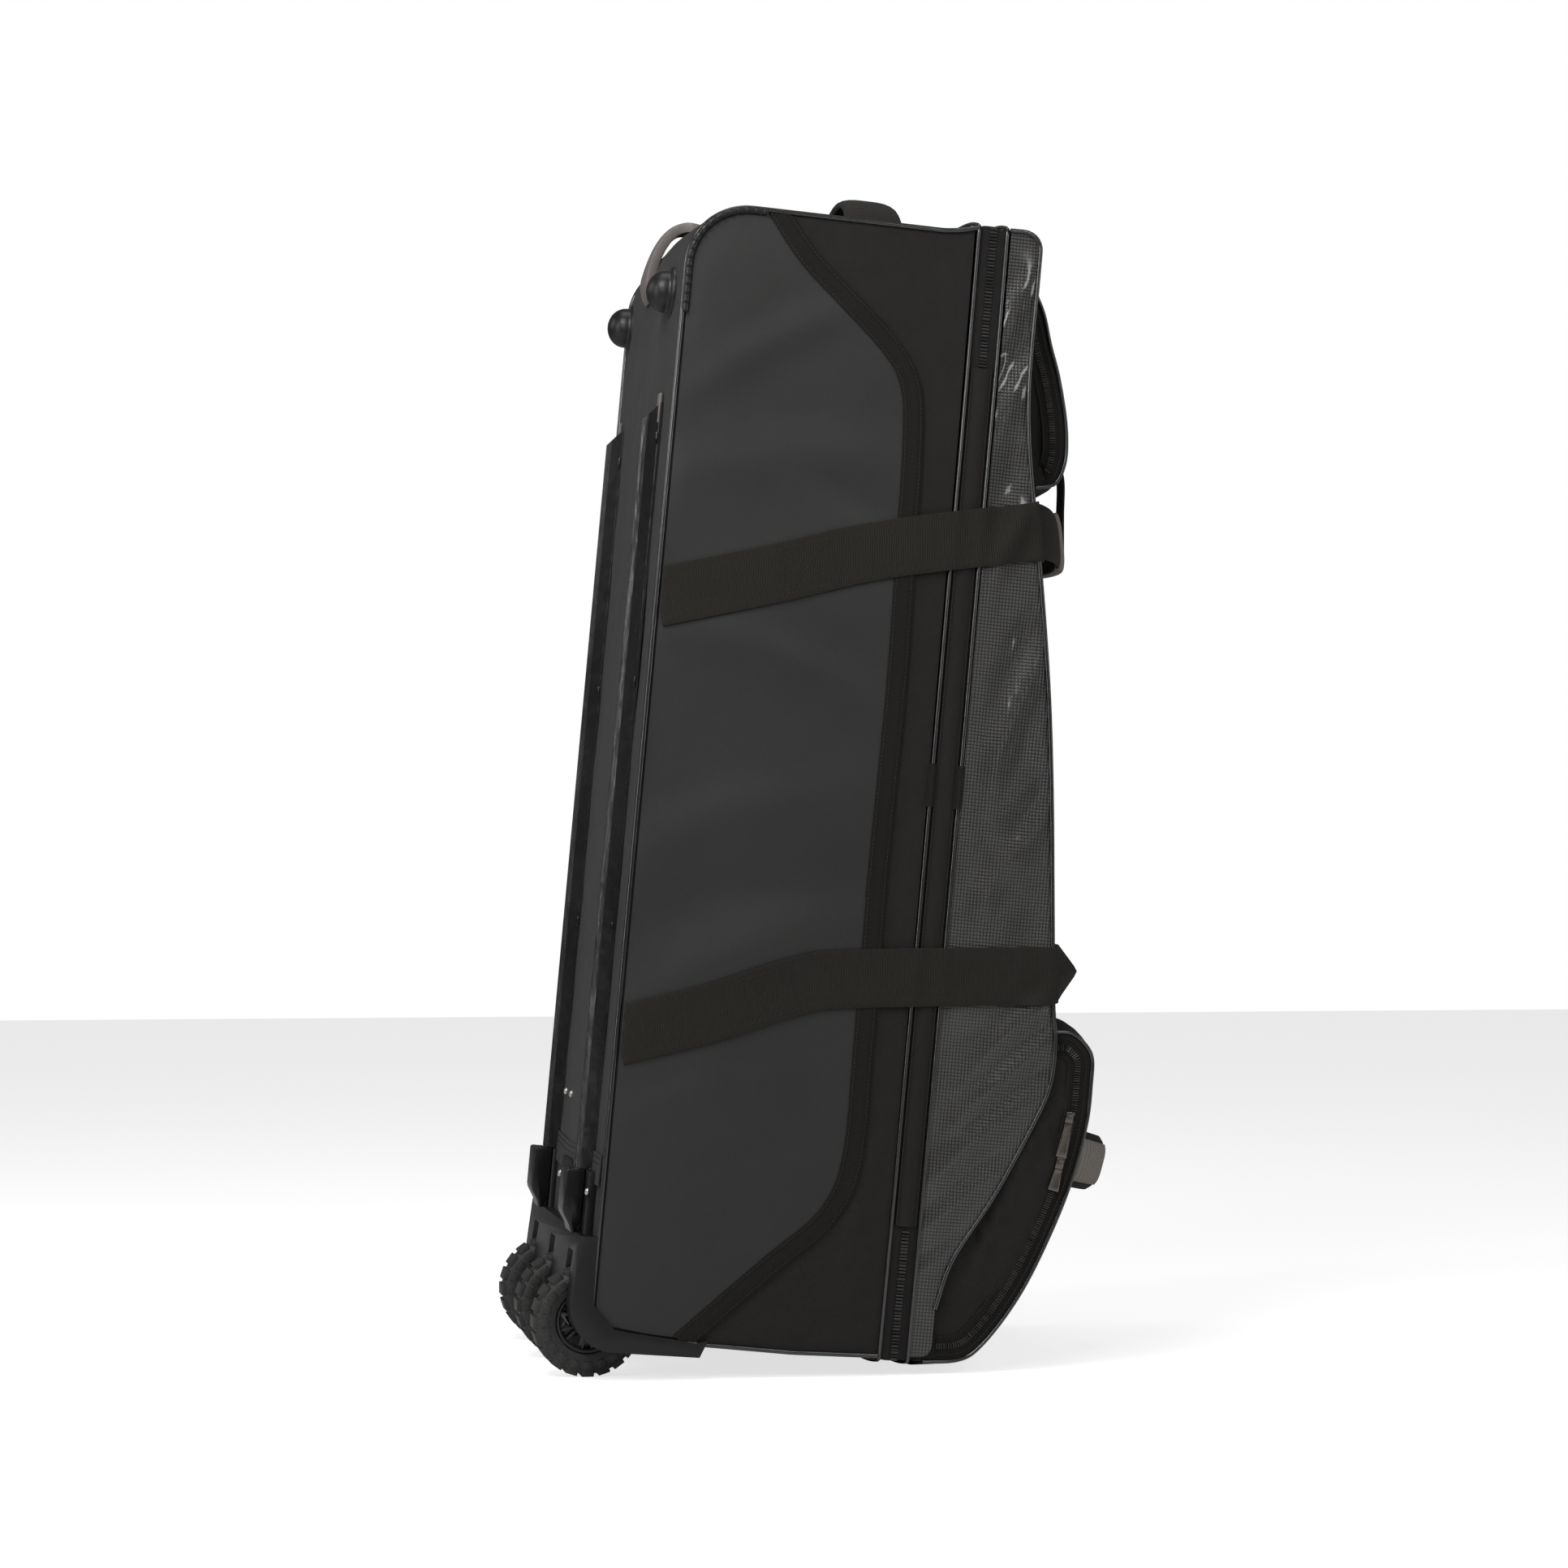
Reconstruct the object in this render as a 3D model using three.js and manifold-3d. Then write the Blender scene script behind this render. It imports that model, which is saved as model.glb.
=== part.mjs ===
// Wheeled cricket kit bag, standing on its wheel end and leaning towards its lid.
// Millimetres, +Z up, X across the bag, the lid on -Y and the wheels on +Y.
// The bag itself is modelled straight, in its own frame: u runs from the back to the lid (-Y),
// v runs up the bag (+Z), and one group then leans it. The origin is below the middle of its box.
import * as THREE from "three";
import { mergeVertices } from "three/addons/utils/BufferGeometryUtils.js";
import Module from "manifold-3d";

const wasm = await Module();
wasm.setup();

// Driving dimensions
const LEAN = THREE.MathUtils.degToRad(5.2);
const BODY_LENGTH = 960;
const BODY_WIDTH = 370;
const TUB_DEPTH = 250;
const GUSSET_WIDTH = 25;
const LID_DEPTH = 105;
const CLOTH = 3;
const GAP = 0.35;

const BACK_BULGE = 5;
const END_BULGE = 7;
const FRONT_BULGE = 12;
const SIDE_BULGE = 7;
const TOP_BACK_RADIUS = 53;
const BOTTOM_BACK_RADIUS = 20;
const FRONT_CORNER_RADIUS = 10;

const PANEL_THICKNESS = 1.2;
const TAPE_WIDTH = 18;
const PIPING_WIDTH = 5;
const PIPING_HEIGHT = 2.2;
const WEBBING_WIDTH = 50;
const WEBBING_THICKNESS = 2.3;

const POCKET_CLOTH = 3;
const TOP_POCKET_WIDTH = 300;
const TOP_POCKET_ABOVE_HANDLE = 12.8;
const TOP_POCKET_TOP_MARGIN = 2.4;
const TOP_POCKET_DEPTH = 45;
const TOP_POCKET_BULGE = 7;
const BOTTOM_POCKET_WIDTH = 356;
const BOTTOM_POCKET_BELOW_HANDLE = 23.7;
const BOTTOM_POCKET_DEPTH = 128;
const BOTTOM_POCKET_BULGE = 12;

const WHEEL_RADIUS = 47;
const WHEEL_WIDTH = 30;
const WHEEL_SPACING = 133;
const WHEEL_SETBACK = 3;
const WHEEL_RISE = 2;
const WHEEL_CLEARANCE = 4;
const LUG_DEPTH = 3.5;
const RIM_RADIUS = 27;
const RIM_WIDTH = 22;
const AXLE_RADIUS = 4;
const RUNNING_GAP = 0.4;

const TRAY_PROUD = 18;
const TRAY_CORNER_RADIUS = 38;
const TRAY_BACK_HEIGHT = 78;
const TRAY_FOOT_LENGTH = 95;
const TRAY_CHEEK = 4;
const TRAY_LAP = 1;
const HOUSING_WALL = 3;
const SLOT_MARGIN = 9;
const TONGUE_WIDTH = 60;
const TONGUE_HEIGHT = 131;
const TONGUE_PROUD = 10;

const RAIL_SPACING = 125;
const RAIL_WIDTH = 30;
const RAIL_PROUD = 16;
const RAIL_BELOW_FOOT = 75;
const RAIL_FLANGE = 4;
const RAIL_CAP_WIDTH = 38;
const RAIL_CAP_HEIGHT = 55;
const RAIL_CAP_PROUD = 27;

const FOOT_RADIUS = 18;
const FOOT_HEIGHT = 22;
const FOOT_PLATE_RADIUS = 22;
const FOOT_SPACING = 132;
const FOOT_FROM_TOP = 72;

const BACK_HANDLE_WIDTH = 38;
const BACK_HANDLE_THICKNESS = 6;
const BACK_HANDLE_RISE = 18.5;

const TOP_HANDLE_SPAN = 190;
const TOP_HANDLE_RISE = 34;
const TOP_HANDLE_WIDTH = 54;
const TOP_HANDLE_THICKNESS = 6;
const TOP_HANDLE_PLACE = 179;

const CARRY_UPPER_RISE = 48;
const CARRY_LOWER_RISE = 36;
const CARRY_FOLD = 12;
const CARRY_SPAN = BODY_WIDTH - 14;
const FRONT_HANDLE_SPAN = 170;
const FRONT_HANDLE_RISE = 51;
const FRONT_HANDLE_WIDTH = 54;
const FRONT_HANDLE_THICKNESS = 4;
const WRAP_LENGTH = 120;
const WRAP_THICKNESS = 4;

const PULL_TAB_WIDTH = 13;
const PULL_TAB_LENGTH = 33;
const SLIDER_LENGTH = 11;
const METAL_THICKNESS = 2.4;

const HALF_WIDTH = BODY_WIDTH / 2;
const LID_START = TUB_DEPTH + GUSSET_WIDTH;
const FLOOR_DROP = WHEEL_RADIUS + WHEEL_SETBACK * Math.sin(LEAN) - WHEEL_RISE * Math.cos(LEAN);
const CORNER_STEPS = 5;

// Tables of sections, as shares of the sizes named beside them

// Side edge of the lid: out, of LID_DEPTH from the gusset, and up, of BODY_LENGTH
const LID_EDGE = [
  { out: 0.29, up: 0.965 },
  { out: 0.29, up: 0.88 },
  { out: 0.33, up: 0.825 },
  { out: 0.42, up: 0.765 },
  { out: 0.54, up: 0.695 },
  { out: 0.68, up: 0.6 },
  { out: 0.78, up: 0.51 },
  { out: 0.87, up: 0.41 },
  { out: 0.95, up: 0.32 },
  { out: 1.0, up: 0.285 },
  { out: 0.98, up: 0.245 },
  { out: 0.86, up: 0.208 },
  { out: 0.6, up: 0.145 },
  { out: 0.3, up: 0.085 },
  { out: 0.19, up: 0.04 },
];

// Front of the top pocket: out, of TOP_POCKET_DEPTH from the pocket's back line, and up its height
const TOP_POCKET_EDGE = [
  { out: 0.1, up: 1.0 },
  { out: 0.34, up: 0.88 },
  { out: 0.52, up: 0.73 },
  { out: 0.74, up: 0.57 },
  { out: 0.94, up: 0.37 },
  { out: 1.02, up: 0.22 },
  { out: 1.0, up: 0.12 },
  { out: 0.86, up: 0.03 },
  { out: 0.5, up: 0.0 },
];

// Front of the bottom pocket: out, of BOTTOM_POCKET_DEPTH from its foot line, and up its height
const BOTTOM_POCKET_EDGE = [
  { out: 0.7, up: 1.0 },
  { out: 0.84, up: 1.0 },
  { out: 0.94, up: 0.969 },
  { out: 0.992, up: 0.931 },
  { out: 1.0, up: 0.863 },
  { out: 0.99, up: 0.73 },
  { out: 0.9, up: 0.53 },
  { out: 0.73, up: 0.313 },
  { out: 0.57, up: 0.168 },
  { out: 0.38, up: 0.05 },
  { out: 0.24, up: 0.012 },
  { out: 0.0, up: 0.0 },
];
const BOTTOM_POCKET_FOOT = -8;
const BOTTOM_POCKET_FOOT_LINE = LID_START + 13;

// Back handle round the upper back corner: turn about the corner's middle in degrees, how far out the
// bar's face lies, of BACK_HANDLE_RISE, and whether the bar stands clear of the body there
const BACK_HANDLE_ARCH = [
  { turn: 192, share: 0.06 },
  { turn: 184, share: 0.36 },
  { turn: 174, share: 0.52 },
  { turn: 164, share: 0.56 },
  { turn: 154, share: 0.66, bar: true },
  { turn: 144, share: 0.82, bar: true },
  { turn: 135, share: 0.96, bar: true },
  { turn: 127, share: 1, bar: true },
  { turn: 120, share: 0.86, bar: true },
  { turn: 113, share: 0.5 },
  { turn: 106, share: 0.1 },
];

// Middle of the front handle, and of each slider with the turn of its tab: out, of BOTTOM_POCKET_DEPTH
// from the pocket's foot line, and up its height
const FRONT_HANDLE_PLACE = { out: 0.94, up: 0.6186 };
const PULLS = {
  upper: { out: 0.828, up: 0.763, turn: -8 },
  lower: { out: 0.742, up: 0.5775, turn: -14 },
};

// Front edge of the coated side panel: out, of TUB_DEPTH, and up, of BODY_LENGTH
const PANEL_EDGE = [
  { out: 0.26, up: 1.0 },
  { out: 0.26, up: 0.993 },
  { out: 0.524, up: 0.926 },
  { out: 0.692, up: 0.8875 },
  { out: 0.768, up: 0.86 },
  { out: 0.796, up: 0.818 },
  { out: 0.816, up: 0.578 },
  { out: 0.81, up: 0.43 },
  { out: 0.812, up: 0.17 },
  { out: 0.748, up: 0.12 },
  { out: 0.568, up: 0.073 },
  { out: 0.288, up: 0.0 },
];

// Middle line of each side strap: out, of the depth of tub, gusset and lid, and up, of BODY_LENGTH
const STRAP_UPPER = [
  { out: 0.0, up: 0.647 },
  { out: 0.28, up: 0.6785 },
  { out: 0.54, up: 0.7095 },
  { out: 0.96, up: 0.744 },
];
const STRAP_LOWER = [
  { out: 0.0, up: 0.259 },
  { out: 0.22, up: 0.286 },
  { out: 0.42, up: 0.316 },
  { out: 0.56, up: 0.327 },
  { out: 1.06, up: 0.3455 },
];
const STRAP_REACH = TUB_DEPTH + GUSSET_WIDTH + LID_DEPTH - GUSSET_WIDTH;

const COLOURS = {
  cloth: 0x211f1e,
  coated: 0x3a3939,
  webbing: 0x26221c,
  carbon: 0x2c2d2e,
  trim: 0x0d0d0e,
  moulded: 0x33312f,
  handle: 0x7d7672,
  patch: 0x6e675f,
  rubber: 0x171717,
  metal: 0x82736e,
};

// Helpers: meshes, solids and placement

/** Turn a three.js geometry into a solid. */
function solidOf(geometry) {
  const bare = geometry.clone();
  bare.deleteAttribute("normal");
  bare.deleteAttribute("uv");
  const merged = mergeVertices(bare, 1e-4);
  return new wasm.Manifold(new wasm.Mesh({
    numProp: 3,
    vertProperties: new Float32Array(merged.attributes.position.array),
    triVerts: new Uint32Array(merged.index.array),
  }));
}

/** Turn a solid back into a three.js geometry. */
function geometryOf(solid) {
  const mesh = solid.getMesh();
  const geometry = new THREE.BufferGeometry();
  geometry.setAttribute("position", new THREE.BufferAttribute(mesh.vertProperties, 3));
  geometry.setIndex(new THREE.BufferAttribute(mesh.triVerts, 1));
  geometry.computeVertexNormals();
  return geometry;
}

/** The largest of the bodies that a cut leaves. */
function mainBody(solid) {
  const bodies = solid.decompose();
  return bodies.reduce((best, body) => (body.volume() > best.volume() ? body : best));
}

/** Closed solid through rings of points, with a point or a flat fan at each end. */
function loft(rings) {
  const count = rings[0].length;
  const positions = rings.flat().flatMap((p) => [p.x, p.y, p.z]);
  const middle = (ring) => ring.reduce((sum, p) => sum.add(p), new THREE.Vector3()).divideScalar(count);
  const first = middle(rings[0]);
  const last = middle(rings[rings.length - 1]);
  positions.push(first.x, first.y, first.z, last.x, last.y, last.z);
  const index = [];
  for (let r = 0; r + 1 < rings.length; r += 1) {
    for (let i = 0; i < count; i += 1) {
      const j = (i + 1) % count;
      const a = r * count;
      const b = a + count;
      index.push(a + i, a + j, b + j, a + i, b + j, b + i);
    }
  }
  const firstPoint = rings.length * count;
  const end = (rings.length - 1) * count;
  for (let i = 0; i < count; i += 1) {
    const j = (i + 1) % count;
    index.push(firstPoint, j, i, firstPoint + 1, end + i, end + j);
  }
  const geometry = new THREE.BufferGeometry();
  geometry.setAttribute("position", new THREE.Float32BufferAttribute(positions, 3));
  geometry.setIndex(index);
  const solid = solidOf(geometry);
  if (solid.volume() > 0) {
    return solid;
  }
  geometry.setIndex(index.map((_, i) => index[i - (i % 3) + [0, 2, 1][i % 3]]));
  return solidOf(geometry);
}

/** Outline moved outwards by a distance, along the middle of each corner. */
function offset(outline, distance) {
  const count = outline.length;
  return outline.map((p, i) => {
    const a = outline[(i + count - 1) % count];
    const b = outline[(i + 1) % count];
    const n = cornerNormal(a, p, b);
    return { ...p, u: p.u + n.u * distance, v: p.v + n.v * distance };
  });
}

/** Outward direction at a corner of an outline that runs anticlockwise in (u, v). */
function cornerNormal(a, p, b) {
  const first = new THREE.Vector2(p.v - a.v, -(p.u - a.u)).normalize();
  const second = new THREE.Vector2(b.v - p.v, -(b.u - p.u)).normalize();
  const sum = first.clone().add(second).normalize();
  const reach = 1 / Math.max(0.6, sum.dot(first));
  return { u: sum.x * reach, v: sum.y * reach };
}

/** Stuffed form: an outline in (u, v) lofted across X, with faces and sides that swell. */
function pillow({ outline, halfWidth, sideBulge, grow = 0 }) {
  const shape = offset(outline, grow);
  const count = shape.length;
  const normals = shape.map((p, i) => (
    cornerNormal(shape[(i + count - 1) % count], p, shape[(i + 1) % count])));
  const half = halfWidth + grow;
  const middle = {
    u: shape.reduce((sum, p) => sum + p.u, 0) / count,
    v: shape.reduce((sum, p) => sum + p.v, 0) / count,
  };
  const ring = (t) => shape.map((p, i) => {
    const swell = p.bulge * (1 - Math.abs(t) ** 4);
    return new THREE.Vector3(t * half, -(p.u + normals[i].u * swell), p.v + normals[i].v * swell);
  });
  const cap = (side, s) => shape.map((p) => new THREE.Vector3(
    side * (half + sideBulge * (1 - s * s)),
    -(middle.u + (p.u - middle.u) * s),
    middle.v + (p.v - middle.v) * s));
  const shares = [0.42, 0.9];
  return loft([
    ...shares.map((s) => cap(-1, s)),
    ...[-1, -0.86, -0.5, 0, 0.5, 0.86, 1].map(ring),
    ...shares.toReversed().map((s) => cap(1, s)),
  ]);
}

/** Prism of an outline in (u, v) between two places across X. */
function sidePrism(outline, from, to) {
  const shape = new THREE.Shape(outline.map((p) => new THREE.Vector2(p.u, p.v)));
  const geometry = new THREE.ExtrudeGeometry(shape, { depth: to - from, bevelEnabled: false, steps: 1 });
  geometry.applyMatrix4(new THREE.Matrix4().makeBasis(
    new THREE.Vector3(0, -1, 0), new THREE.Vector3(0, 0, 1), new THREE.Vector3(-1, 0, 0)));
  geometry.translate(to, 0, 0);
  return solidOf(geometry);
}

/** Box between two corners, given as x, u and v. */
function boxSolid([x0, u0, v0], [x1, u1, v1]) {
  const geometry = new THREE.BoxGeometry(x1 - x0, u1 - u0, v1 - v0);
  geometry.translate((x0 + x1) / 2, -(u0 + u1) / 2, (v0 + v1) / 2);
  return solidOf(geometry);
}

/** Round bar along X. */
function barSolid({ radius, from, to, u, v, sides = 28 }) {
  const geometry = new THREE.CylinderGeometry(radius, radius, to - from, sides);
  geometry.rotateZ(Math.PI / 2);
  geometry.translate((from + to) / 2, -u, v);
  return solidOf(geometry);
}

/** Points of an arc in (u, v), with the bulge that its face has. */
function arc({ u, v, radius, from, to, bulge, steps = CORNER_STEPS }) {
  return Array.from({ length: steps + 1 }, (_, i) => {
    const angle = THREE.MathUtils.degToRad(from + (to - from) * i / steps);
    return { u: u + radius * Math.cos(angle), v: v + radius * Math.sin(angle), bulge };
  });
}

/** Webbing arch: feet on a surface, a rise between them, and a fold along its middle. */
function archBand({ span, rise, width, thickness, fold = 0, surface = () => 0 }) {
  const places = [-1, -0.8, -0.6, -0.32, 0, 0.32, 0.6, 0.8, 1];
  return loft(places.map((t) => {
    const share = Math.max(0, 1 - (t / 0.8) ** 2);
    const height = surface(t * span / 2) + rise * share ** 0.8;
    const ridge = fold * Math.min(1, share * 2);
    const half = width / 2;
    return [
      [-half, height], [0, height + ridge], [half, height],
      [half, height + thickness], [0, height + ridge + thickness], [-half, height + thickness],
    ].map(([w, h]) => new THREE.Vector3(t * span / 2, w, h));
  }));
}

/** Place a band that was built with its width on Y and its height on Z. */
function place(solid, { u, v, outward, across }) {
  const x = new THREE.Vector3(1, 0, 0);
  const z = new THREE.Vector3(0, -outward.u, outward.v).normalize();
  const y = new THREE.Vector3().crossVectors(z, x);
  const matrix = new THREE.Matrix4().makeBasis(x, y, z);
  matrix.setPosition(across, -u, v);
  return solid.transform(matrix.elements);
}

// Forms: the stuffed shapes that the pieces are cut from

const lidEdge = LID_EDGE.map((row) => (
  { u: LID_START + row.out * LID_DEPTH, v: row.up * BODY_LENGTH, bulge: FRONT_BULGE }));

/** Height on the lid at which the front end of a strap, and the handle that goes on from it, lies. */
const handleHeight = (table) => table[table.length - 1].up * BODY_LENGTH;

const topPocketFoot = handleHeight(STRAP_UPPER) + WEBBING_WIDTH / 2 + TOP_POCKET_ABOVE_HANDLE;
const topPocketHeight = lidEdge[0].v - TOP_POCKET_TOP_MARGIN - topPocketFoot;
const bottomPocketTop = handleHeight(STRAP_LOWER) - WEBBING_WIDTH / 2 - BOTTOM_POCKET_BELOW_HANDLE;
const bottomPocketHeight = bottomPocketTop - BOTTOM_POCKET_FOOT;

/** A place on the bottom pocket, from shares of its depth and height. */
const bottomPocketPlace = (out, up) => ({
  u: BOTTOM_POCKET_FOOT_LINE + out * BOTTOM_POCKET_DEPTH, v: BOTTOM_POCKET_FOOT + up * bottomPocketHeight });

/** Side outline of the whole body, anticlockwise from the lower back corner. */
function bodyOutline() {
  const topFront = lidEdge[0];
  const foot = lidEdge[lidEdge.length - 1];
  return [
    ...arc({
      u: BOTTOM_BACK_RADIUS, v: BOTTOM_BACK_RADIUS, radius: BOTTOM_BACK_RADIUS,
      from: 180, to: 270, bulge: BACK_BULGE, steps: 3,
    }),
    { u: TUB_DEPTH * 0.4, v: -END_BULGE * 0.8, bulge: END_BULGE },
    { u: TUB_DEPTH * 0.7, v: -END_BULGE, bulge: END_BULGE },
    ...arc({
      u: foot.u - FRONT_CORNER_RADIUS, v: FRONT_CORNER_RADIUS - END_BULGE / 2, radius: FRONT_CORNER_RADIUS,
      from: 270, to: 360, bulge: END_BULGE / 2, steps: 2,
    }),
    ...lidEdge.toReversed(),
    ...arc({
      u: topFront.u - FRONT_CORNER_RADIUS, v: BODY_LENGTH - FRONT_CORNER_RADIUS, radius: FRONT_CORNER_RADIUS,
      from: 0, to: 90, bulge: END_BULGE, steps: 2,
    }),
    { u: TUB_DEPTH * 0.6, v: BODY_LENGTH, bulge: END_BULGE },
    ...arc({
      u: TOP_BACK_RADIUS, v: BODY_LENGTH - TOP_BACK_RADIUS, radius: TOP_BACK_RADIUS,
      from: 90, to: 180, bulge: BACK_BULGE, steps: 5,
    }),
    { u: 0, v: BODY_LENGTH * 0.5, bulge: BACK_BULGE },
  ];
}

const BODY = bodyOutline();
const bodyForm = (grow) => pillow({ outline: BODY, halfWidth: HALF_WIDTH, sideBulge: SIDE_BULGE, grow });
const bodyLayer = (from, to) => bodyForm(to).subtract(bodyForm(from));

const topPocketOutline = [
  ...TOP_POCKET_EDGE.map((row) => {
    const v = topPocketFoot + row.up * topPocketHeight;
    return { u: LID_START + LID_DEPTH * 0.29 + row.out * TOP_POCKET_DEPTH, v, bulge: TOP_POCKET_BULGE };
  }),
  { u: LID_START, v: topPocketFoot, bulge: 0 },
  { u: LID_START, v: topPocketFoot + topPocketHeight, bulge: 0 },
].toReversed();
const topPocketForm = (grow) => pillow({
  outline: topPocketOutline, halfWidth: TOP_POCKET_WIDTH / 2, sideBulge: 3, grow,
});

const bottomPocketOutline = [
  ...BOTTOM_POCKET_EDGE.map((row) => ({ ...bottomPocketPlace(row.out, row.up), bulge: BOTTOM_POCKET_BULGE })),
  { u: LID_START + 5, v: BOTTOM_POCKET_FOOT + 10, bulge: 0 },
  { u: LID_START + 15, v: bottomPocketHeight * 0.4, bulge: 0 },
  { u: LID_START + LID_DEPTH * 0.6, v: bottomPocketHeight * 0.9, bulge: 0 },
].toReversed();
const bottomPocketForm = (grow) => pillow({
  outline: bottomPocketOutline, halfWidth: BOTTOM_POCKET_WIDTH / 2, sideBulge: 4, grow,
});

/** Everything above the floor, raised by a distance, in the bag's own frame. */
function aboveFloor(raise) {
  const size = 3 * BODY_LENGTH;
  const geometry = new THREE.BoxGeometry(size, size, size);
  geometry.translate(0, 0, size / 2 - FLOOR_DROP + raise);
  geometry.rotateX(-LEAN);
  return solidOf(geometry);
}

// Body pieces

const far = 2 * BODY_LENGTH;
const slab = (from, to) => boxSolid([-far, from, -far], [far, to, far]);
const bodyShell = bodyLayer(-CLOTH, 0);
const wheelPlaces = { left: -WHEEL_SPACING, mid: 0, right: WHEEL_SPACING };
const wellHalf = WHEEL_WIDTH / 2 + WHEEL_CLEARANCE / 2;
const wellRadius = WHEEL_RADIUS + WHEEL_CLEARANCE;

/** Drum about a wheel's centre. */
function drum(x, radius, half) {
  return barSolid({ radius, from: x - half, to: x + half, u: WHEEL_SETBACK, v: WHEEL_RISE });
}

function buildTub() {
  const holes = Object.values(wheelPlaces).map((x) => (
    drum(x, wellRadius + HOUSING_WALL + GAP, wellHalf + HOUSING_WALL + GAP)));
  let tub = bodyShell.intersect(slab(-far, TUB_DEPTH));
  holes.forEach((hole) => { tub = tub.subtract(hole); });
  return mainBody(tub);
}

function buildPockets() {
  const lidSide = bodyForm(GAP);
  const top = topPocketForm(0).subtract(topPocketForm(-POCKET_CLOTH)).subtract(lidSide);
  const outer = bottomPocketForm(0).intersect(aboveFloor(0));
  const inner = bottomPocketForm(-POCKET_CLOTH).intersect(aboveFloor(POCKET_CLOTH));
  return { top: mainBody(top), bottom: mainBody(outer.subtract(inner).subtract(lidSide)) };
}

/** Outline region behind a table's edge line, in (u, v). */
function regionBehind(table, extra) {
  const line = table.map((row) => ({ u: row.out * TUB_DEPTH + extra, v: row.up * BODY_LENGTH }));
  const first = line[0];
  const last = line[line.length - 1];
  return [
    { u: -far, v: -far }, { u: last.u, v: -far }, ...line.toReversed(),
    { u: first.u, v: far }, { u: -far, v: far },
  ];
}

/** Two mirrored copies of a piece that is built on the left side. */
function bothSides(name, solid) {
  return { [`${name}_left`]: solid, [`${name}_right`]: solid.mirror([1, 0, 0]) };
}

const seamInset = 3.2;
const insideSeam = sidePrism(offset(BODY, -seamInset), -far, -HALF_WIDTH + 4);

/** Sheet of a thickness on the left side of the bag, cut to an outline. */
function sideSheet(outline, from, thickness) {
  const region = sidePrism(outline, -far, -HALF_WIDTH + 4);
  return bodyLayer(from, from + thickness).intersect(insideSeam).intersect(region);
}

const trayClear = 0.4;

/** Outline of the wheel tray in (u, v): an L round the lower back corner. */
function trayOutline(grow) {
  const corner = arc({
    u: -TRAY_PROUD + TRAY_CORNER_RADIUS, v: -TRAY_PROUD + TRAY_CORNER_RADIUS, radius: TRAY_CORNER_RADIUS,
    from: 180, to: 270, bulge: 0, steps: 6,
  });
  return offset([
    { u: -TRAY_PROUD + 3, v: TRAY_BACK_HEIGHT },
    ...corner,
    { u: TRAY_FOOT_LENGTH, v: -TRAY_PROUD + 1 },
    { u: TRAY_FOOT_LENGTH + 6, v: -2 },
    { u: TRAY_FOOT_LENGTH - 4, v: TRAY_LAP - 6 },
    { u: TRAY_LAP + BOTTOM_BACK_RADIUS, v: TRAY_LAP },
    { u: TRAY_LAP, v: TRAY_LAP + BOTTOM_BACK_RADIUS },
    { u: TRAY_LAP - 2, v: TRAY_BACK_HEIGHT },
  ], grow);
}

function buildTray() {
  const reach = HALF_WIDTH + TRAY_CHEEK + trayClear;
  const shell = sidePrism(trayOutline(0), -reach, reach);
  const corner = sidePrism([
    { u: -TRAY_PROUD + 3, v: TRAY_BACK_HEIGHT },
    ...trayOutline(0).slice(1, 8),
    { u: TRAY_FOOT_LENGTH, v: -TRAY_PROUD + 1 },
    { u: TRAY_FOOT_LENGTH, v: TRAY_BACK_HEIGHT },
  ], -reach, reach);
  let tray = shell.subtract(bodyForm(trayClear));
  Object.values(wheelPlaces).forEach((x) => {
    const tongue = boxSolid(
      [x - TONGUE_WIDTH / 2, -TONGUE_PROUD, TRAY_BACK_HEIGHT - 20],
      [x + TONGUE_WIDTH / 2, BACK_BULGE, TONGUE_HEIGHT]);
    const housing = drum(x, wellRadius + HOUSING_WALL, wellHalf + HOUSING_WALL).intersect(corner);
    tray = tray.add(tongue.subtract(bodyForm(trayClear))).add(housing);
  });
  Object.values(wheelPlaces).forEach((x) => {
    const slotTop = wellRadius + WHEEL_RISE + SLOT_MARGIN;
    const slot = boxSolid([x - wellHalf, -far, 0], [x + wellHalf, -BACK_BULGE - 1, slotTop]);
    const boreHalf = wellHalf + 2 * HOUSING_WALL;
    const bore = barSolid({
      radius: AXLE_RADIUS + RUNNING_GAP, from: x - boreHalf, to: x + boreHalf,
      u: WHEEL_SETBACK, v: WHEEL_RISE, sides: 12,
    });
    tray = tray.subtract(drum(x, wellRadius, wellHalf)).subtract(slot).subtract(bore);
  });
  return mainBody(tray);
}

// Wheels, turned about X

/** Ring of points on a circle, for a shape or a hole. */
function circlePoints(radius, sides) {
  return Array.from({ length: sides }, (_, i) => {
    const angle = 2 * Math.PI * i / sides;
    return new THREE.Vector2(radius * Math.cos(angle), radius * Math.sin(angle));
  });
}

/** Flat shape extruded along X about a wheel's centre. */
function wheelPart(shape, width) {
  const geometry = new THREE.ExtrudeGeometry(shape, { depth: width, bevelEnabled: false, steps: 1 });
  geometry.translate(0, 0, -width / 2);
  geometry.rotateY(Math.PI / 2);
  return solidOf(geometry);
}

const LUGS = 20;

function buildTyre() {
  const outline = [];
  for (let i = 0; i < LUGS; i += 1) {
    [[-0.3, 0], [0.3, 0], [0.36, 1], [0.64, 1]].forEach(([share, deep]) => {
      const angle = 2 * Math.PI * (i + share) / LUGS - LEAN;
      const radius = WHEEL_RADIUS - LUG_DEPTH * deep;
      outline.push(new THREE.Vector2(radius * Math.cos(angle), radius * Math.sin(angle)));
    });
  }
  const shape = new THREE.Shape(outline);
  shape.holes.push(new THREE.Path(circlePoints(RIM_RADIUS, 24)));
  return wheelPart(shape, WHEEL_WIDTH);
}

const SPOKES = 6;

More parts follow.
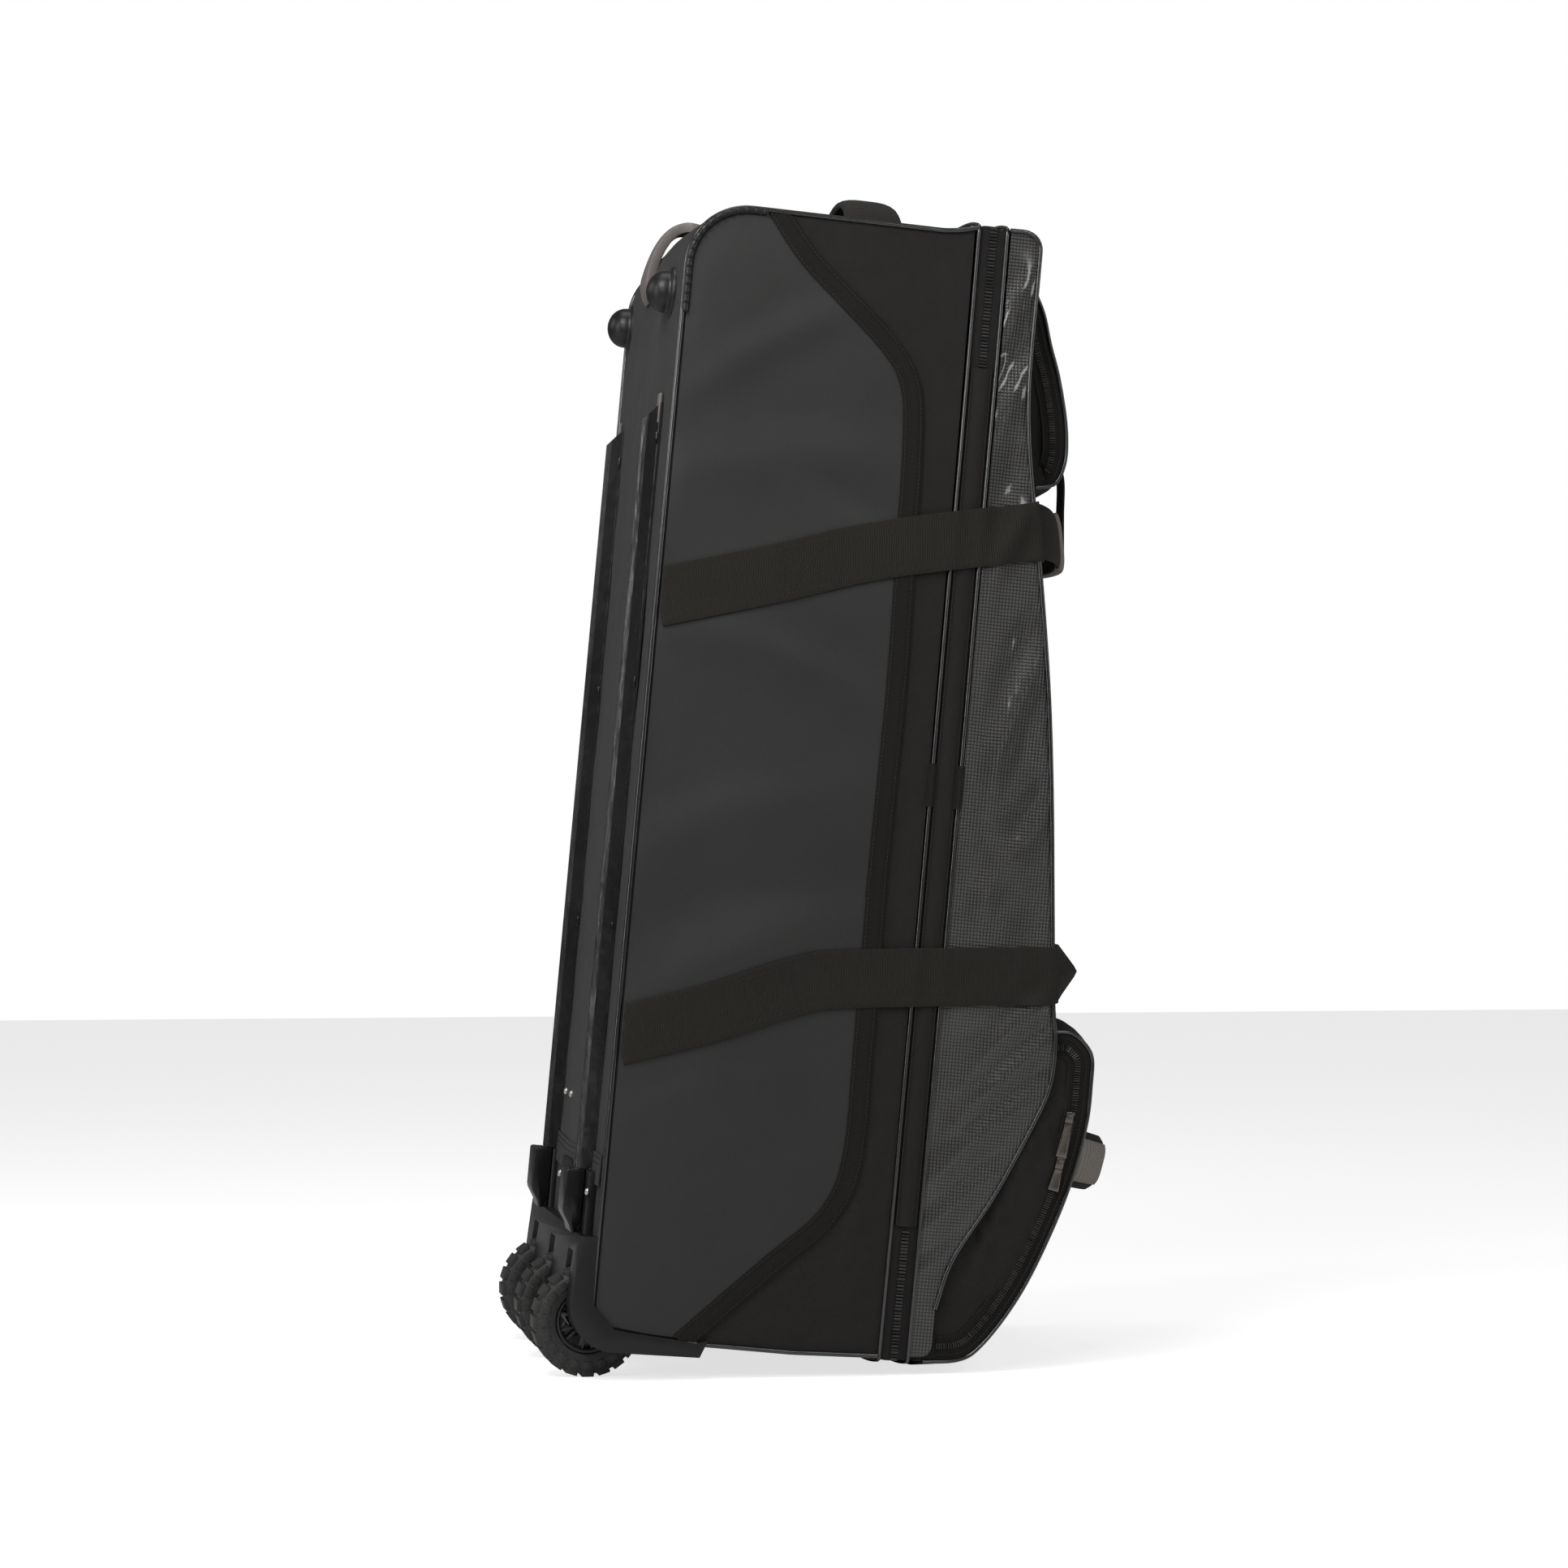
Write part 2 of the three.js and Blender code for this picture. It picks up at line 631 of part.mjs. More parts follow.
function buildRim() {
  const shape = new THREE.Shape(circlePoints(RIM_RADIUS - GAP, 24));
  shape.holes.push(new THREE.Path(circlePoints(AXLE_RADIUS + RUNNING_GAP, 12)));
  const inner = RIM_RADIUS * 0.42;
  const outer = RIM_RADIUS * 0.82;
  for (let i = 0; i < SPOKES; i += 1) {
    const middle = 2 * Math.PI * i / SPOKES;
    const wide = 0.3;
    const corners = [[inner, -wide * 0.6], [outer, -wide], [outer, 0], [outer, wide], [inner, wide * 0.6]];
    shape.holes.push(new THREE.Path(corners.map(([radius, turn]) => (
      new THREE.Vector2(radius * Math.cos(middle + turn), radius * Math.sin(middle + turn))))));
  }
  return wheelPart(shape, RIM_WIDTH);
}

function buildAxle() {
  const half = wellHalf + HOUSING_WALL;
  return barSolid({ radius: AXLE_RADIUS, from: -half, to: half, u: 0, v: 0, sides: 12 });
}

// Trims: tapes, pipings and straps that lie on the body

/** Strip either side of a table's line, in (u, v), with a width across it. */
function stripOutline(line, width) {
  const side = (distance) => line.map((p, i) => {
    const a = line[Math.max(0, i - 1)];
    const b = line[Math.min(line.length - 1, i + 1)];
    const across = new THREE.Vector2(-(b.v - a.v), b.u - a.u).normalize();
    return { u: p.u + across.x * distance, v: p.v + across.y * distance };
  });
  return [...side(-width / 2), ...side(width / 2).toReversed()];
}

const trayCut = sidePrism(trayOutline(GAP), -far, far);
const pipingLayer = bodyLayer(GAP, GAP + PIPING_HEIGHT);

function buildSeamPiping() {
  const outer = sidePrism(offset(BODY, far / 8), -far, -HALF_WIDTH + seamInset);
  const inner = sidePrism(offset(BODY, -(seamInset - GAP)), -far, 0);
  const edge = pipingLayer.intersect(outer).subtract(inner);
  const behind = slab(-far, TUB_DEPTH - PIPING_WIDTH / 2 - GAP);
  const before = slab(LID_START + PIPING_WIDTH / 2 + GAP, far);
  return {
    tub: mainBody(edge.intersect(behind).subtract(trayCut)),
    front: mainBody(edge.intersect(before).subtract(bottomPocketForm(GAP))),
  };
}

/** Cord in the seam at one edge of the gusset, all the way round the bag. */
function buildGussetPiping(u) {
  return mainBody(pipingLayer.intersect(slab(u - PIPING_WIDTH / 2, u + PIPING_WIDTH / 2))
    .subtract(bottomPocketForm(GAP)));
}

const strapLine = (table) => table.map((row) => ({ u: row.out * STRAP_REACH, v: row.up * BODY_LENGTH }));
const strapBase = PIPING_HEIGHT + 2 * GAP;

function buildStrap(table) {
  const strap = sideSheet(stripOutline(strapLine(table), WEBBING_WIDTH), strapBase, WEBBING_THICKNESS);
  return mainBody(strap);
}

function buildPanels() {
  const panel = sideSheet(regionBehind(PANEL_EDGE, 0), GAP, PANEL_THICKNESS).subtract(trayCut);
  const wide = sidePrism(regionBehind(PANEL_EDGE, TAPE_WIDTH), -far, 0);
  const narrow = sidePrism(regionBehind(PANEL_EDGE, GAP), -far, 0);
  const tape = bodyLayer(GAP, GAP + PANEL_THICKNESS).intersect(insideSeam)
    .intersect(sidePrism([
      { u: -far, v: -far }, { u: TUB_DEPTH - PIPING_WIDTH / 2 - GAP, v: -far },
      { u: TUB_DEPTH - PIPING_WIDTH / 2 - GAP, v: far }, { u: -far, v: far },
    ], -far, -HALF_WIDTH + 4))
    .intersect(wide).subtract(narrow).subtract(trayCut);
  return { panel: mainBody(panel), tape: mainBody(tape) };
}

const GUARD_WIDTH = 6;

/** Strip round the upper back corner of the side, just inside the seam. */
function buildCornerGuard() {
  const inset = seamInset + 0.5 + GUARD_WIDTH / 2;
  const line = [
    { u: inset, v: BODY_LENGTH - TOP_BACK_RADIUS * 1.75 },
    ...arc({
      u: TOP_BACK_RADIUS, v: BODY_LENGTH - TOP_BACK_RADIUS, radius: TOP_BACK_RADIUS - inset,
      from: 180, to: 90, bulge: 0, steps: 8,
    }),
    { u: TOP_BACK_RADIUS * 1.2, v: BODY_LENGTH - inset },
  ];
  const from = 2 * GAP + PANEL_THICKNESS;
  return mainBody(sideSheet(stripOutline(line, GUARD_WIDTH), from, PANEL_THICKNESS));
}

// Hard pieces on the back

function buildRail() {
  const start = TONGUE_HEIGHT + GAP;
  const end = BODY_LENGTH - FOOT_FROM_TOP - FOOT_PLATE_RADIUS - RAIL_BELOW_FOOT;
  const outline = [
    { u: BACK_BULGE, v: start }, { u: -RAIL_PROUD, v: start }, { u: -RAIL_PROUD, v: end - RAIL_PROUD },
    { u: -BACK_BULGE, v: end }, { u: BACK_BULGE, v: end },
  ];
  const half = RAIL_WIDTH / 2;
  const channel = sidePrism(outline, -RAIL_SPACING - half, -RAIL_SPACING + half);
  const flange = boxSolid(
    [-RAIL_SPACING - half - RAIL_FLANGE, -BACK_BULGE, start],
    [-RAIL_SPACING + half + RAIL_FLANGE, BACK_BULGE, end + RAIL_FLANGE * 3]);
  return mainBody(channel.add(flange).subtract(bodyForm(GAP)));
}

function buildRailCap() {
  const top = TONGUE_HEIGHT;
  const point = top - RAIL_CAP_HEIGHT;
  const outline = [
    { u: -TONGUE_PROUD - GAP, v: top }, { u: -RAIL_CAP_PROUD, v: top },
    { u: -RAIL_CAP_PROUD, v: point + 17 }, { u: -TRAY_PROUD, v: point }, { u: -TONGUE_PROUD - GAP, v: point },
  ];
  const half = RAIL_CAP_WIDTH / 2;
  const slope = trayOutline(GAP);
  return mainBody(sidePrism(outline, -RAIL_SPACING - half, -RAIL_SPACING + half)
    .subtract(sidePrism(slope, -far, far)));
}

function buildFoot() {
  const profile = [
    [0, -4], [FOOT_PLATE_RADIUS, -4], [FOOT_PLATE_RADIUS, 2], [FOOT_RADIUS, 3.5],
    [FOOT_RADIUS * 0.95, FOOT_HEIGHT * 0.6], [FOOT_RADIUS * 0.74, FOOT_HEIGHT * 0.85],
    [FOOT_RADIUS * 0.4, FOOT_HEIGHT * 0.97], [0, FOOT_HEIGHT],
  ].map(([radius, height]) => new THREE.Vector2(radius, height));
  const geometry = new THREE.LatheGeometry(profile, 16);
  geometry.rotateX(Math.PI / 2);
  geometry.translate(-FOOT_SPACING, 0, BODY_LENGTH - FOOT_FROM_TOP);
  return mainBody(solidOf(geometry).subtract(bodyForm(GAP)));
}

/** The moulded handle round the upper back corner: an arched bar that rises most near the top. */
function buildBackHandle() {
  const skin = TOP_BACK_RADIUS + BACK_BULGE;
  const at = (turn, radius) => {
    const angle = THREE.MathUtils.degToRad(turn);
    return {
      u: TOP_BACK_RADIUS + radius * Math.cos(angle),
      v: BODY_LENGTH - TOP_BACK_RADIUS + radius * Math.sin(angle), bulge: 0,
    };
  };
  const outer = BACK_HANDLE_ARCH.map((row) => at(row.turn, skin + row.share * BACK_HANDLE_RISE));
  const span = BACK_HANDLE_ARCH.filter((row) => row.bar);
  const inner = span.map((row) => at(row.turn, skin + row.share * BACK_HANDLE_RISE - BACK_HANDLE_THICKNESS));
  const first = BACK_HANDLE_ARCH[0].turn;
  const last = BACK_HANDLE_ARCH[BACK_HANDLE_ARCH.length - 1].turn;
  const sunk = TOP_BACK_RADIUS - 2;
  const band = [
    ...outer, at(last, sunk), at(span[span.length - 1].turn - 3, sunk),
    ...inner.toReversed(), at(span[0].turn + 3, sunk), at(first, sunk),
  ];
  const half = BACK_HANDLE_WIDTH / 2;
  return mainBody(sidePrism(dropRepeats(band), -half, half).subtract(bodyForm(GAP)));
}

/** Outline without points that repeat their neighbour. */
function dropRepeats(outline) {
  return outline.filter((p, i) => {
    const next = outline[(i + 1) % outline.length];
    return Math.hypot(p.u - next.u, p.v - next.v) > 1e-3;
  });
}

// Handles

function lidSurface(v) {
  for (let i = 0; i + 1 < lidEdge.length; i += 1) {
    const a = lidEdge[i];
    const b = lidEdge[i + 1];
    if (v <= a.v && v >= b.v) {
      const share = (a.v - v) / (a.v - b.v);
      return { u: a.u + (b.u - a.u) * share, slope: (b.u - a.u) / (a.v - b.v) };
    }
  }
  throw new Error("place is off the lid's front");
}

const lidSwell = (x) => FRONT_BULGE * (1 - Math.abs(x / HALF_WIDTH) ** 4);

/** Where a carry handle crosses the lid: level with the front ends of its two straps. */
function lidPlace(table) {
  const v = handleHeight(table);
  const surface = lidSurface(v);
  return { u: surface.u + GAP, v, outward: { u: 1, v: surface.slope }, across: 0 };
}

function buildCarryHandle(table, rise, fold) {
  const band = archBand({
    span: CARRY_SPAN, rise, width: WEBBING_WIDTH, thickness: WEBBING_THICKNESS, fold, surface: lidSwell,
  });
  return mainBody(place(band, lidPlace(table)).subtract(bodyForm(GAP)));
}

/** Padded sleeve round the middle of the upper carry handle. */
function buildWrap() {
  const sleeve = (extra, length) => place(archBand({
    span: CARRY_SPAN, rise: CARRY_UPPER_RISE - extra, width: WEBBING_WIDTH + 2 * extra,
    thickness: WEBBING_THICKNESS + 2 * extra, surface: lidSwell,
  }), lidPlace(STRAP_UPPER)).intersect(boxSolid([-length / 2, -far, -far], [length / 2, far, far]));
  return mainBody(sleeve(WRAP_THICKNESS, WRAP_LENGTH).subtract(sleeve(GAP, WRAP_LENGTH + 1)));
}

function buildTopHandle() {
  const band = archBand({
    span: TOP_HANDLE_SPAN, rise: TOP_HANDLE_RISE, width: TOP_HANDLE_WIDTH, thickness: TOP_HANDLE_THICKNESS,
  });
  return place(band, {
    u: TOP_HANDLE_PLACE, v: BODY_LENGTH + END_BULGE + GAP, outward: { u: 0, v: 1 }, across: 0,
  });
}

function buildFrontHandle() {
  const band = archBand({
    span: FRONT_HANDLE_SPAN, rise: FRONT_HANDLE_RISE, width: FRONT_HANDLE_WIDTH,
    thickness: FRONT_HANDLE_THICKNESS,
  });
  const base = bottomPocketPlace(FRONT_HANDLE_PLACE.out, FRONT_HANDLE_PLACE.up);
  const seat = { u: base.u + BOTTOM_POCKET_BULGE, v: base.v, outward: { u: 1, v: -0.18 }, across: 0 };
  return mainBody(place(band, seat).subtract(bottomPocketForm(GAP)));
}

// Zip pulls on the left side of the bottom pocket

function buildPull({ out, up, turn }) {
  const { u, v } = bottomPocketPlace(out, up);
  const angle = THREE.MathUtils.degToRad(turn);
  const layer = bottomPocketForm(GAP + METAL_THICKNESS).subtract(bottomPocketForm(GAP));
  const rectangle = (length, width, drop) => [
    [-width / 2, 0], [width / 2, 0], [width / 2, -length], [-width / 2, -length],
  ].map(([across, down]) => ({
    u: u + across * Math.cos(angle) - (down - drop) * Math.sin(angle),
    v: v + across * Math.sin(angle) + (down - drop) * Math.cos(angle),
  }));
  const side = -BOTTOM_POCKET_WIDTH / 2 + 1;
  const slider = layer.intersect(sidePrism(rectangle(SLIDER_LENGTH, PULL_TAB_WIDTH * 0.7, 0), -far, side));
  const tab = layer.intersect(sidePrism(
    rectangle(PULL_TAB_LENGTH, PULL_TAB_WIDTH, SLIDER_LENGTH + GAP), -far, side));
  return { slider: mainBody(slider), tab: mainBody(tab) };
}

// Assembly

const pockets = buildPockets();
const seams = buildSeamPiping();
const { panel, tape } = buildPanels();

const clothPieces = {
  tub: buildTub(),
  zip_gusset: mainBody(bodyShell.intersect(slab(TUB_DEPTH + GAP, LID_START))),
};
const lid = mainBody(bodyShell.intersect(slab(LID_START + GAP, far)));

const bag = new THREE.Group();
bag.rotation.x = LEAN;
const model = new THREE.Group();
model.add(bag);

function add(name, solid, colour, { roughness = 0.8, metalness = 0, position } = {}) {
  const material = new THREE.MeshStandardMaterial({ color: colour, roughness, metalness });
  const mesh = new THREE.Mesh(geometryOf(solid), material);
  mesh.name = name;
  if (position) {
    mesh.position.copy(position);
  }
  bag.add(mesh);
}

function addAll(pieces, colour, look) {
  Object.entries(pieces).forEach(([name, solid]) => add(name, solid, colour, look));
}

addAll(clothPieces, COLOURS.cloth);
add("lid", lid, COLOURS.carbon, { roughness: 0.4 });
add("top_pocket", pockets.top, COLOURS.cloth);
add("bottom_pocket", pockets.bottom, COLOURS.cloth);
addAll(bothSides("side_panel", panel), COLOURS.coated);
addAll(bothSides("panel_tape", tape), COLOURS.webbing);
addAll(bothSides("tub_piping", seams.tub), COLOURS.trim, { roughness: 0.3 });
addAll(bothSides("front_piping", seams.front), COLOURS.trim, { roughness: 0.3 });
add("gusset_piping_back", buildGussetPiping(TUB_DEPTH), COLOURS.trim, { roughness: 0.3 });
add("gusset_piping_front", buildGussetPiping(LID_START), COLOURS.trim, { roughness: 0.3 });
addAll(bothSides("corner_guard", buildCornerGuard()), COLOURS.trim);
addAll(bothSides("strap_upper", buildStrap(STRAP_UPPER)), COLOURS.webbing);
addAll(bothSides("strap_lower", buildStrap(STRAP_LOWER)), COLOURS.webbing);
add("carry_handle_upper", buildCarryHandle(STRAP_UPPER, CARRY_UPPER_RISE, 0), COLOURS.webbing);
add("carry_handle_lower", buildCarryHandle(STRAP_LOWER, CARRY_LOWER_RISE, CARRY_FOLD), COLOURS.webbing);
add("carry_wrap", buildWrap(), COLOURS.patch);
add("top_handle", mainBody(buildTopHandle().subtract(bodyForm(GAP))), COLOURS.webbing);
add("front_handle", buildFrontHandle(), COLOURS.webbing);
add("back_handle", buildBackHandle(), COLOURS.handle, { roughness: 0.5 });
addAll(bothSides("rail", buildRail()), COLOURS.trim, { roughness: 0.3 });
addAll(bothSides("rail_cap", buildRailCap()), COLOURS.trim, { roughness: 0.2 });
addAll(bothSides("foot", buildFoot()), COLOURS.rubber, { roughness: 0.5 });
add("wheel_tray", buildTray(), COLOURS.moulded, { roughness: 0.6 });

Object.entries(wheelPlaces).forEach(([side, x]) => {
  const position = new THREE.Vector3(x, -WHEEL_SETBACK, WHEEL_RISE);
  add(`tyre_${side}`, buildTyre(), COLOURS.rubber, { position });
  add(`rim_${side}`, buildRim(), COLOURS.rubber, { roughness: 0.5, position });
  add(`axle_${side}`, buildAxle(), COLOURS.metal, { roughness: 0.4, metalness: 1, position });
});

Object.entries(PULLS).forEach(([level, pull]) => {
  const { slider, tab } = buildPull(pull);
  add(`zip_slider_${level}`, slider, COLOURS.metal, { roughness: 0.35, metalness: 1 });
  add(`pull_tab_${level}`, tab, COLOURS.metal, { roughness: 0.35, metalness: 1 });
});

model.updateMatrixWorld(true);
const box = new THREE.Box3().setFromObject(model, true);
bag.position.set(-(box.min.x + box.max.x) / 2, -(box.min.y + box.max.y) / 2, -box.min.z);
model.updateMatrixWorld(true);

export default model;
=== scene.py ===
"""Wheeled cricket kit bag, dressed around its frame: cloth tub and lid, pockets, straps, rails and wheels."""
import logging
import math
from dataclasses import dataclass
from enum import Enum
from functools import lru_cache
from typing import Callable, Sequence

import bpy
import numpy as np
from mathutils import Matrix, Vector, noise


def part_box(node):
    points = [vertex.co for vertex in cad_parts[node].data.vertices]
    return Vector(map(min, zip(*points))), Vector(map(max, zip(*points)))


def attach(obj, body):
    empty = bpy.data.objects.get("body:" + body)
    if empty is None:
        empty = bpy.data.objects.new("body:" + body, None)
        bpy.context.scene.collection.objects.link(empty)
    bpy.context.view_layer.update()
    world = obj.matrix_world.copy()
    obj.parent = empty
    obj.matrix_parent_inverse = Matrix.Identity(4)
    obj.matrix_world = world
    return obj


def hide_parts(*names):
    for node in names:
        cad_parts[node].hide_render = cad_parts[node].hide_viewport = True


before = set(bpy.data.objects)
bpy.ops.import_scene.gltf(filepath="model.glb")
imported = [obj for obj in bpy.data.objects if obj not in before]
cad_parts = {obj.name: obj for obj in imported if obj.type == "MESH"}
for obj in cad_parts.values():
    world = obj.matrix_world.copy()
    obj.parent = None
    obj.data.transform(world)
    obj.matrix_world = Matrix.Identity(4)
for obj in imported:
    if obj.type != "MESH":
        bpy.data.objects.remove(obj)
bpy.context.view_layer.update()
LOG = logging.getLogger("kit_bag")
Array = np.ndarray
Place = Callable[[Array, Array], Array]
Piece = bpy.types.Object
Socket = bpy.types.NodeSocket
Node = bpy.types.Node

LEAN = math.radians(5.2)
WHEEL_SETBACK = 0.003
WHEEL_RISE = 0.002


class Side(Enum):
    """The two sides of the bag, with the sign of X on each."""

    LEFT = -1
    RIGHT = 1

    @property
    def word(self) -> str:
        """The side's name, as the nodes spell it."""
        return self.name.lower()


@dataclass(frozen=True)
class BagAxes:
    """The bag's own axes in metres: x across, u from the back to the lid, v up the bag."""

    corner_y: float
    corner_z: float

    @classmethod
    def from_frame(cls) -> "BagAxes":
        """Find the bag's lower back corner from the middle wheel.

        Returns:
            The axes, as the frame stands.
        """
        low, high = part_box("tyre_mid")
        y = (low[1] + high[1]) / 2 + WHEEL_SETBACK * math.cos(LEAN) + WHEEL_RISE * math.sin(LEAN)
        z = (low[2] + high[2]) / 2 + WHEEL_SETBACK * math.sin(LEAN) - WHEEL_RISE * math.cos(LEAN)
        return cls(y, z)

    def row(self, points: Array) -> Array:
        """Turn (x, u, v) rows into places in the row frame.

        Args:
            points: An (n, 3) array of x, u and v.

        Returns:
            An (n, 3) array of X, Y and Z.
        """
        x, u, v = np.asarray(points, float).T
        y = self.corner_y - u * math.cos(LEAN) - v * math.sin(LEAN)
        z = self.corner_z - u * math.sin(LEAN) + v * math.cos(LEAN)
        return np.stack([x, y, z], axis=1)

    def turn(self) -> Matrix:
        """The turn from (x, -u, v) to the row frame."""
        return Matrix.Translation((0.0, self.corner_y, self.corner_z)) @ Matrix.Rotation(LEAN, 4, "X")


AXES = BagAxes.from_frame()


# Outlines and stuffed forms

def arc(u: float, v: float, radius: float, start: float, end: float, bulge: float, steps: int = 8) -> Array:
    """Points of an arc in (u, v), each with the bulge of its face.

    Args:
        u: Middle of the arc, out from the back.
        v: Middle of the arc, up the bag.
        radius: Radius of the arc.
        start: First angle in degrees, anticlockwise from u.
        end: Last angle in degrees.
        bulge: Bulge of the face there.
        steps: Number of steps.

    Returns:
        An (n, 3) array of u, v and bulge.
    """
    angles = np.radians(np.linspace(start, end, steps + 1))
    swell = np.full(steps + 1, bulge)
    return np.column_stack([u + radius * np.cos(angles), v + radius * np.sin(angles), swell])


def through(points: Array, per: int = 8) -> Array:
    """A smooth line through points.

    Args:
        points: An (n, k) array of points.
        per: Steps between two points.

    Returns:
        The finer line, with the same first and last point.
    """
    ends = np.vstack([2 * points[0] - points[1], points, 2 * points[-1] - points[-2]])
    share = np.linspace(0, 1, per, endpoint=False)[:, None]
    pieces = []
    for a, b, c, d in zip(ends, ends[1:], ends[2:], ends[3:]):
        curve = (2 * b + (c - a) * share + (2 * a - 5 * b + 4 * c - d) * share ** 2
                 + (3 * b - a - 3 * c + d) * share ** 3) / 2
        pieces.append(curve)
    return np.vstack([*pieces, points[-1:]])


def between(spots: Array | float, table: Array, places: Array | None = None) -> Array:
    """Rows of a table at spots that may lie between its rows.

    Args:
        spots: Where to read it.
        table: An (n, k) array.
        places: Where its rows are, by default at their row numbers.

    Returns:
        One row a spot.
    """
    places = np.arange(len(table)) if places is None else places
    return np.stack([np.interp(spots, places, column) for column in table.T], axis=-1)


def side_steps(line: Array) -> Array:
    """The unit direction across a line in (u, v), at each of its points."""
    along = np.gradient(line, axis=0)
    along /= np.linalg.norm(along, axis=1)[:, None]
    return np.column_stack([-along[:, 1], along[:, 0]])


def spaced(line: Array, step: float) -> Array:
    """The same line with points at even distances.

    Args:
        line: An (n, k) array whose first columns are u and v, or x, y and z.
        step: Distance between points.

    Returns:
        The line, respaced.
    """
    reach = min(line.shape[1], 3)
    gaps = np.linalg.norm(np.diff(line[:, :reach], axis=0), axis=1)
    along = np.concatenate([[0.0], np.cumsum(gaps)])
    count = max(2, int(round(along[-1] / step)) + 1)
    places = np.linspace(0, along[-1], count)
    return between(places, line, along)


class Form:
    """A stuffed form: a closed side outline lofted across X, with faces and sides that swell."""

    def __init__(self, outline: Array, half_width: float, side_bulge: float,
                 middle: tuple[float, float]) -> None:
        """Keep the outline at even steps, with its outward directions.

        Args:
            outline: Anticlockwise rows of u, v and bulge.
            half_width: Half the width across X, at the seams.
            side_bulge: How far the sides swell in their middle.
            middle: A point in (u, v) from which the whole outline is seen.
        """
        closed = np.vstack([outline, outline[:1]])
        gaps = np.linalg.norm(np.diff(closed[:, :2], axis=0), axis=1)
        along = np.concatenate([[0.0], np.cumsum(gaps)])
        count = int(along[-1] / 0.004)
        self.places = np.linspace(0, along[-1], count + 1)
        self.line = between(self.places, closed, along)
        ring = self.line[:-1, :2]
        tangent = np.roll(ring, -2, axis=0) - np.roll(ring, 2, axis=0)
        normal = np.stack([tangent[:, 1], -tangent[:, 0]], axis=1)
        normal /= np.linalg.norm(normal, axis=1)[:, None]
        self.normals = np.vstack([normal, normal[:1]])
        self.length = along[-1]
        self.half_width = half_width
        self.side_bulge = side_bulge
        self.middle = np.array(middle)
        away = ring - self.middle
        angle = np.arctan2(away[:, 1], away[:, 0])
        order = np.argsort(angle)
        self.angles = angle[order]
        self.radii = np.linalg.norm(away, axis=1)[order]

    def place_of(self, u: float, v: float) -> float:
        """Distance along the outline of its point nearest to (u, v)."""
        gaps = np.hypot(self.line[:-1, 0] - u, self.line[:-1, 1] - v)
        return float(self.places[int(np.argmin(gaps))])

    def edge(self, s: Array) -> tuple[Array, Array]:
        """Points and outward directions on the outline.

        Args:
            s: Distances along the outline, past its end as well.

        Returns:
            An (n, 3) array of u, v and bulge, and an (n, 2) array of directions.
        """
        wrapped = np.mod(s, self.length)
        line = between(wrapped, self.line, self.places)
        out = between(wrapped, self.normals, self.places)
        return line, out / np.linalg.norm(out, axis=1)[:, None]

    def band(self, t: Array, s: Array, lift: Array | float = 0.0) -> Array:
        """Points of the face that runs round the form.

        Args:
            t: Share across, from -1 to 1.
            s: Distance along the outline.
            lift: Extra height above the face.

        Returns:
            An (n, 3) array of x, u and v.
        """
        line, out = self.edge(s)
        swell = line[:, 2] * (1 - np.abs(t) ** 4) + lift
        return np.column_stack([t * self.half_width, line[:, :2] + out * swell[:, None]])

    def reach(self, u: Array, v: Array) -> Array:
        """How far out a point of the side is: 0 in its middle and 1 on the seam."""
        away_u, away_v = u - self.middle[0], v - self.middle[1]
        angle = np.arctan2(away_v, away_u)
        radius = np.interp(angle, self.angles, self.radii, period=2 * math.pi)
        return np.hypot(away_u, away_v) / radius

    def side(self, u: Array, v: Array) -> Array:
        """Distance of the side's surface from the middle of the bag."""
        return self.half_width + self.side_bulge * (1 - np.clip(self.reach(u, v), 0, 1) ** 2)


def soft_noise(a: Array, b: Array, size: float, seed: float) -> Array:
    """Smooth noise between about -0.6 and 0.6 over two coordinates.

    Args:
        a: First coordinate in metres.
        b: Second coordinate in metres.
        size: Size of a wave in metres.
        seed: Where in the noise to start.

    Returns:
        One value a point.
    """
    return np.array([noise.noise(Vector((p / size, q / size, seed))) for p, q in zip(a, b)])


@dataclass(frozen=True)
class Fold:
    """One soft fold in cloth, a long low wave."""

    u: float
    v: float
    angle: float
    length: float
    width: float
    height: float

    def lift(self, u: Array, v: Array) -> Array:
        """Height of the fold at points in (u, v)."""
        turn = math.radians(self.angle)
        along = (u - self.u) * math.cos(turn) + (v - self.v) * math.sin(turn)
        across = -(u - self.u) * math.sin(turn) + (v - self.v) * math.cos(turn)
        across = across + 0.12 * along ** 2 / max(self.length, 1e-6)
        wave = (across / self.width) ** 2
        return self.height * np.exp(-(along / self.length) ** 2) * (1 - 0.8 * wave) * np.exp(-wave)


# Driving sizes of the body, in metres, as in the frame

LENGTH = 0.960
TUB_DEPTH = 0.250
GUSSET = 0.025
LID_START = TUB_DEPTH + GUSSET
LID_DEPTH = 0.105
HALF_WIDTH = 0.185
SIDE_BULGE = 0.007
BACK_BULGE = 0.005
END_BULGE = 0.007
FRONT_BULGE = 0.012
TOP_BACK_RADIUS = 0.053
WEBBING = 0.050
TOP_RISE = 0.007

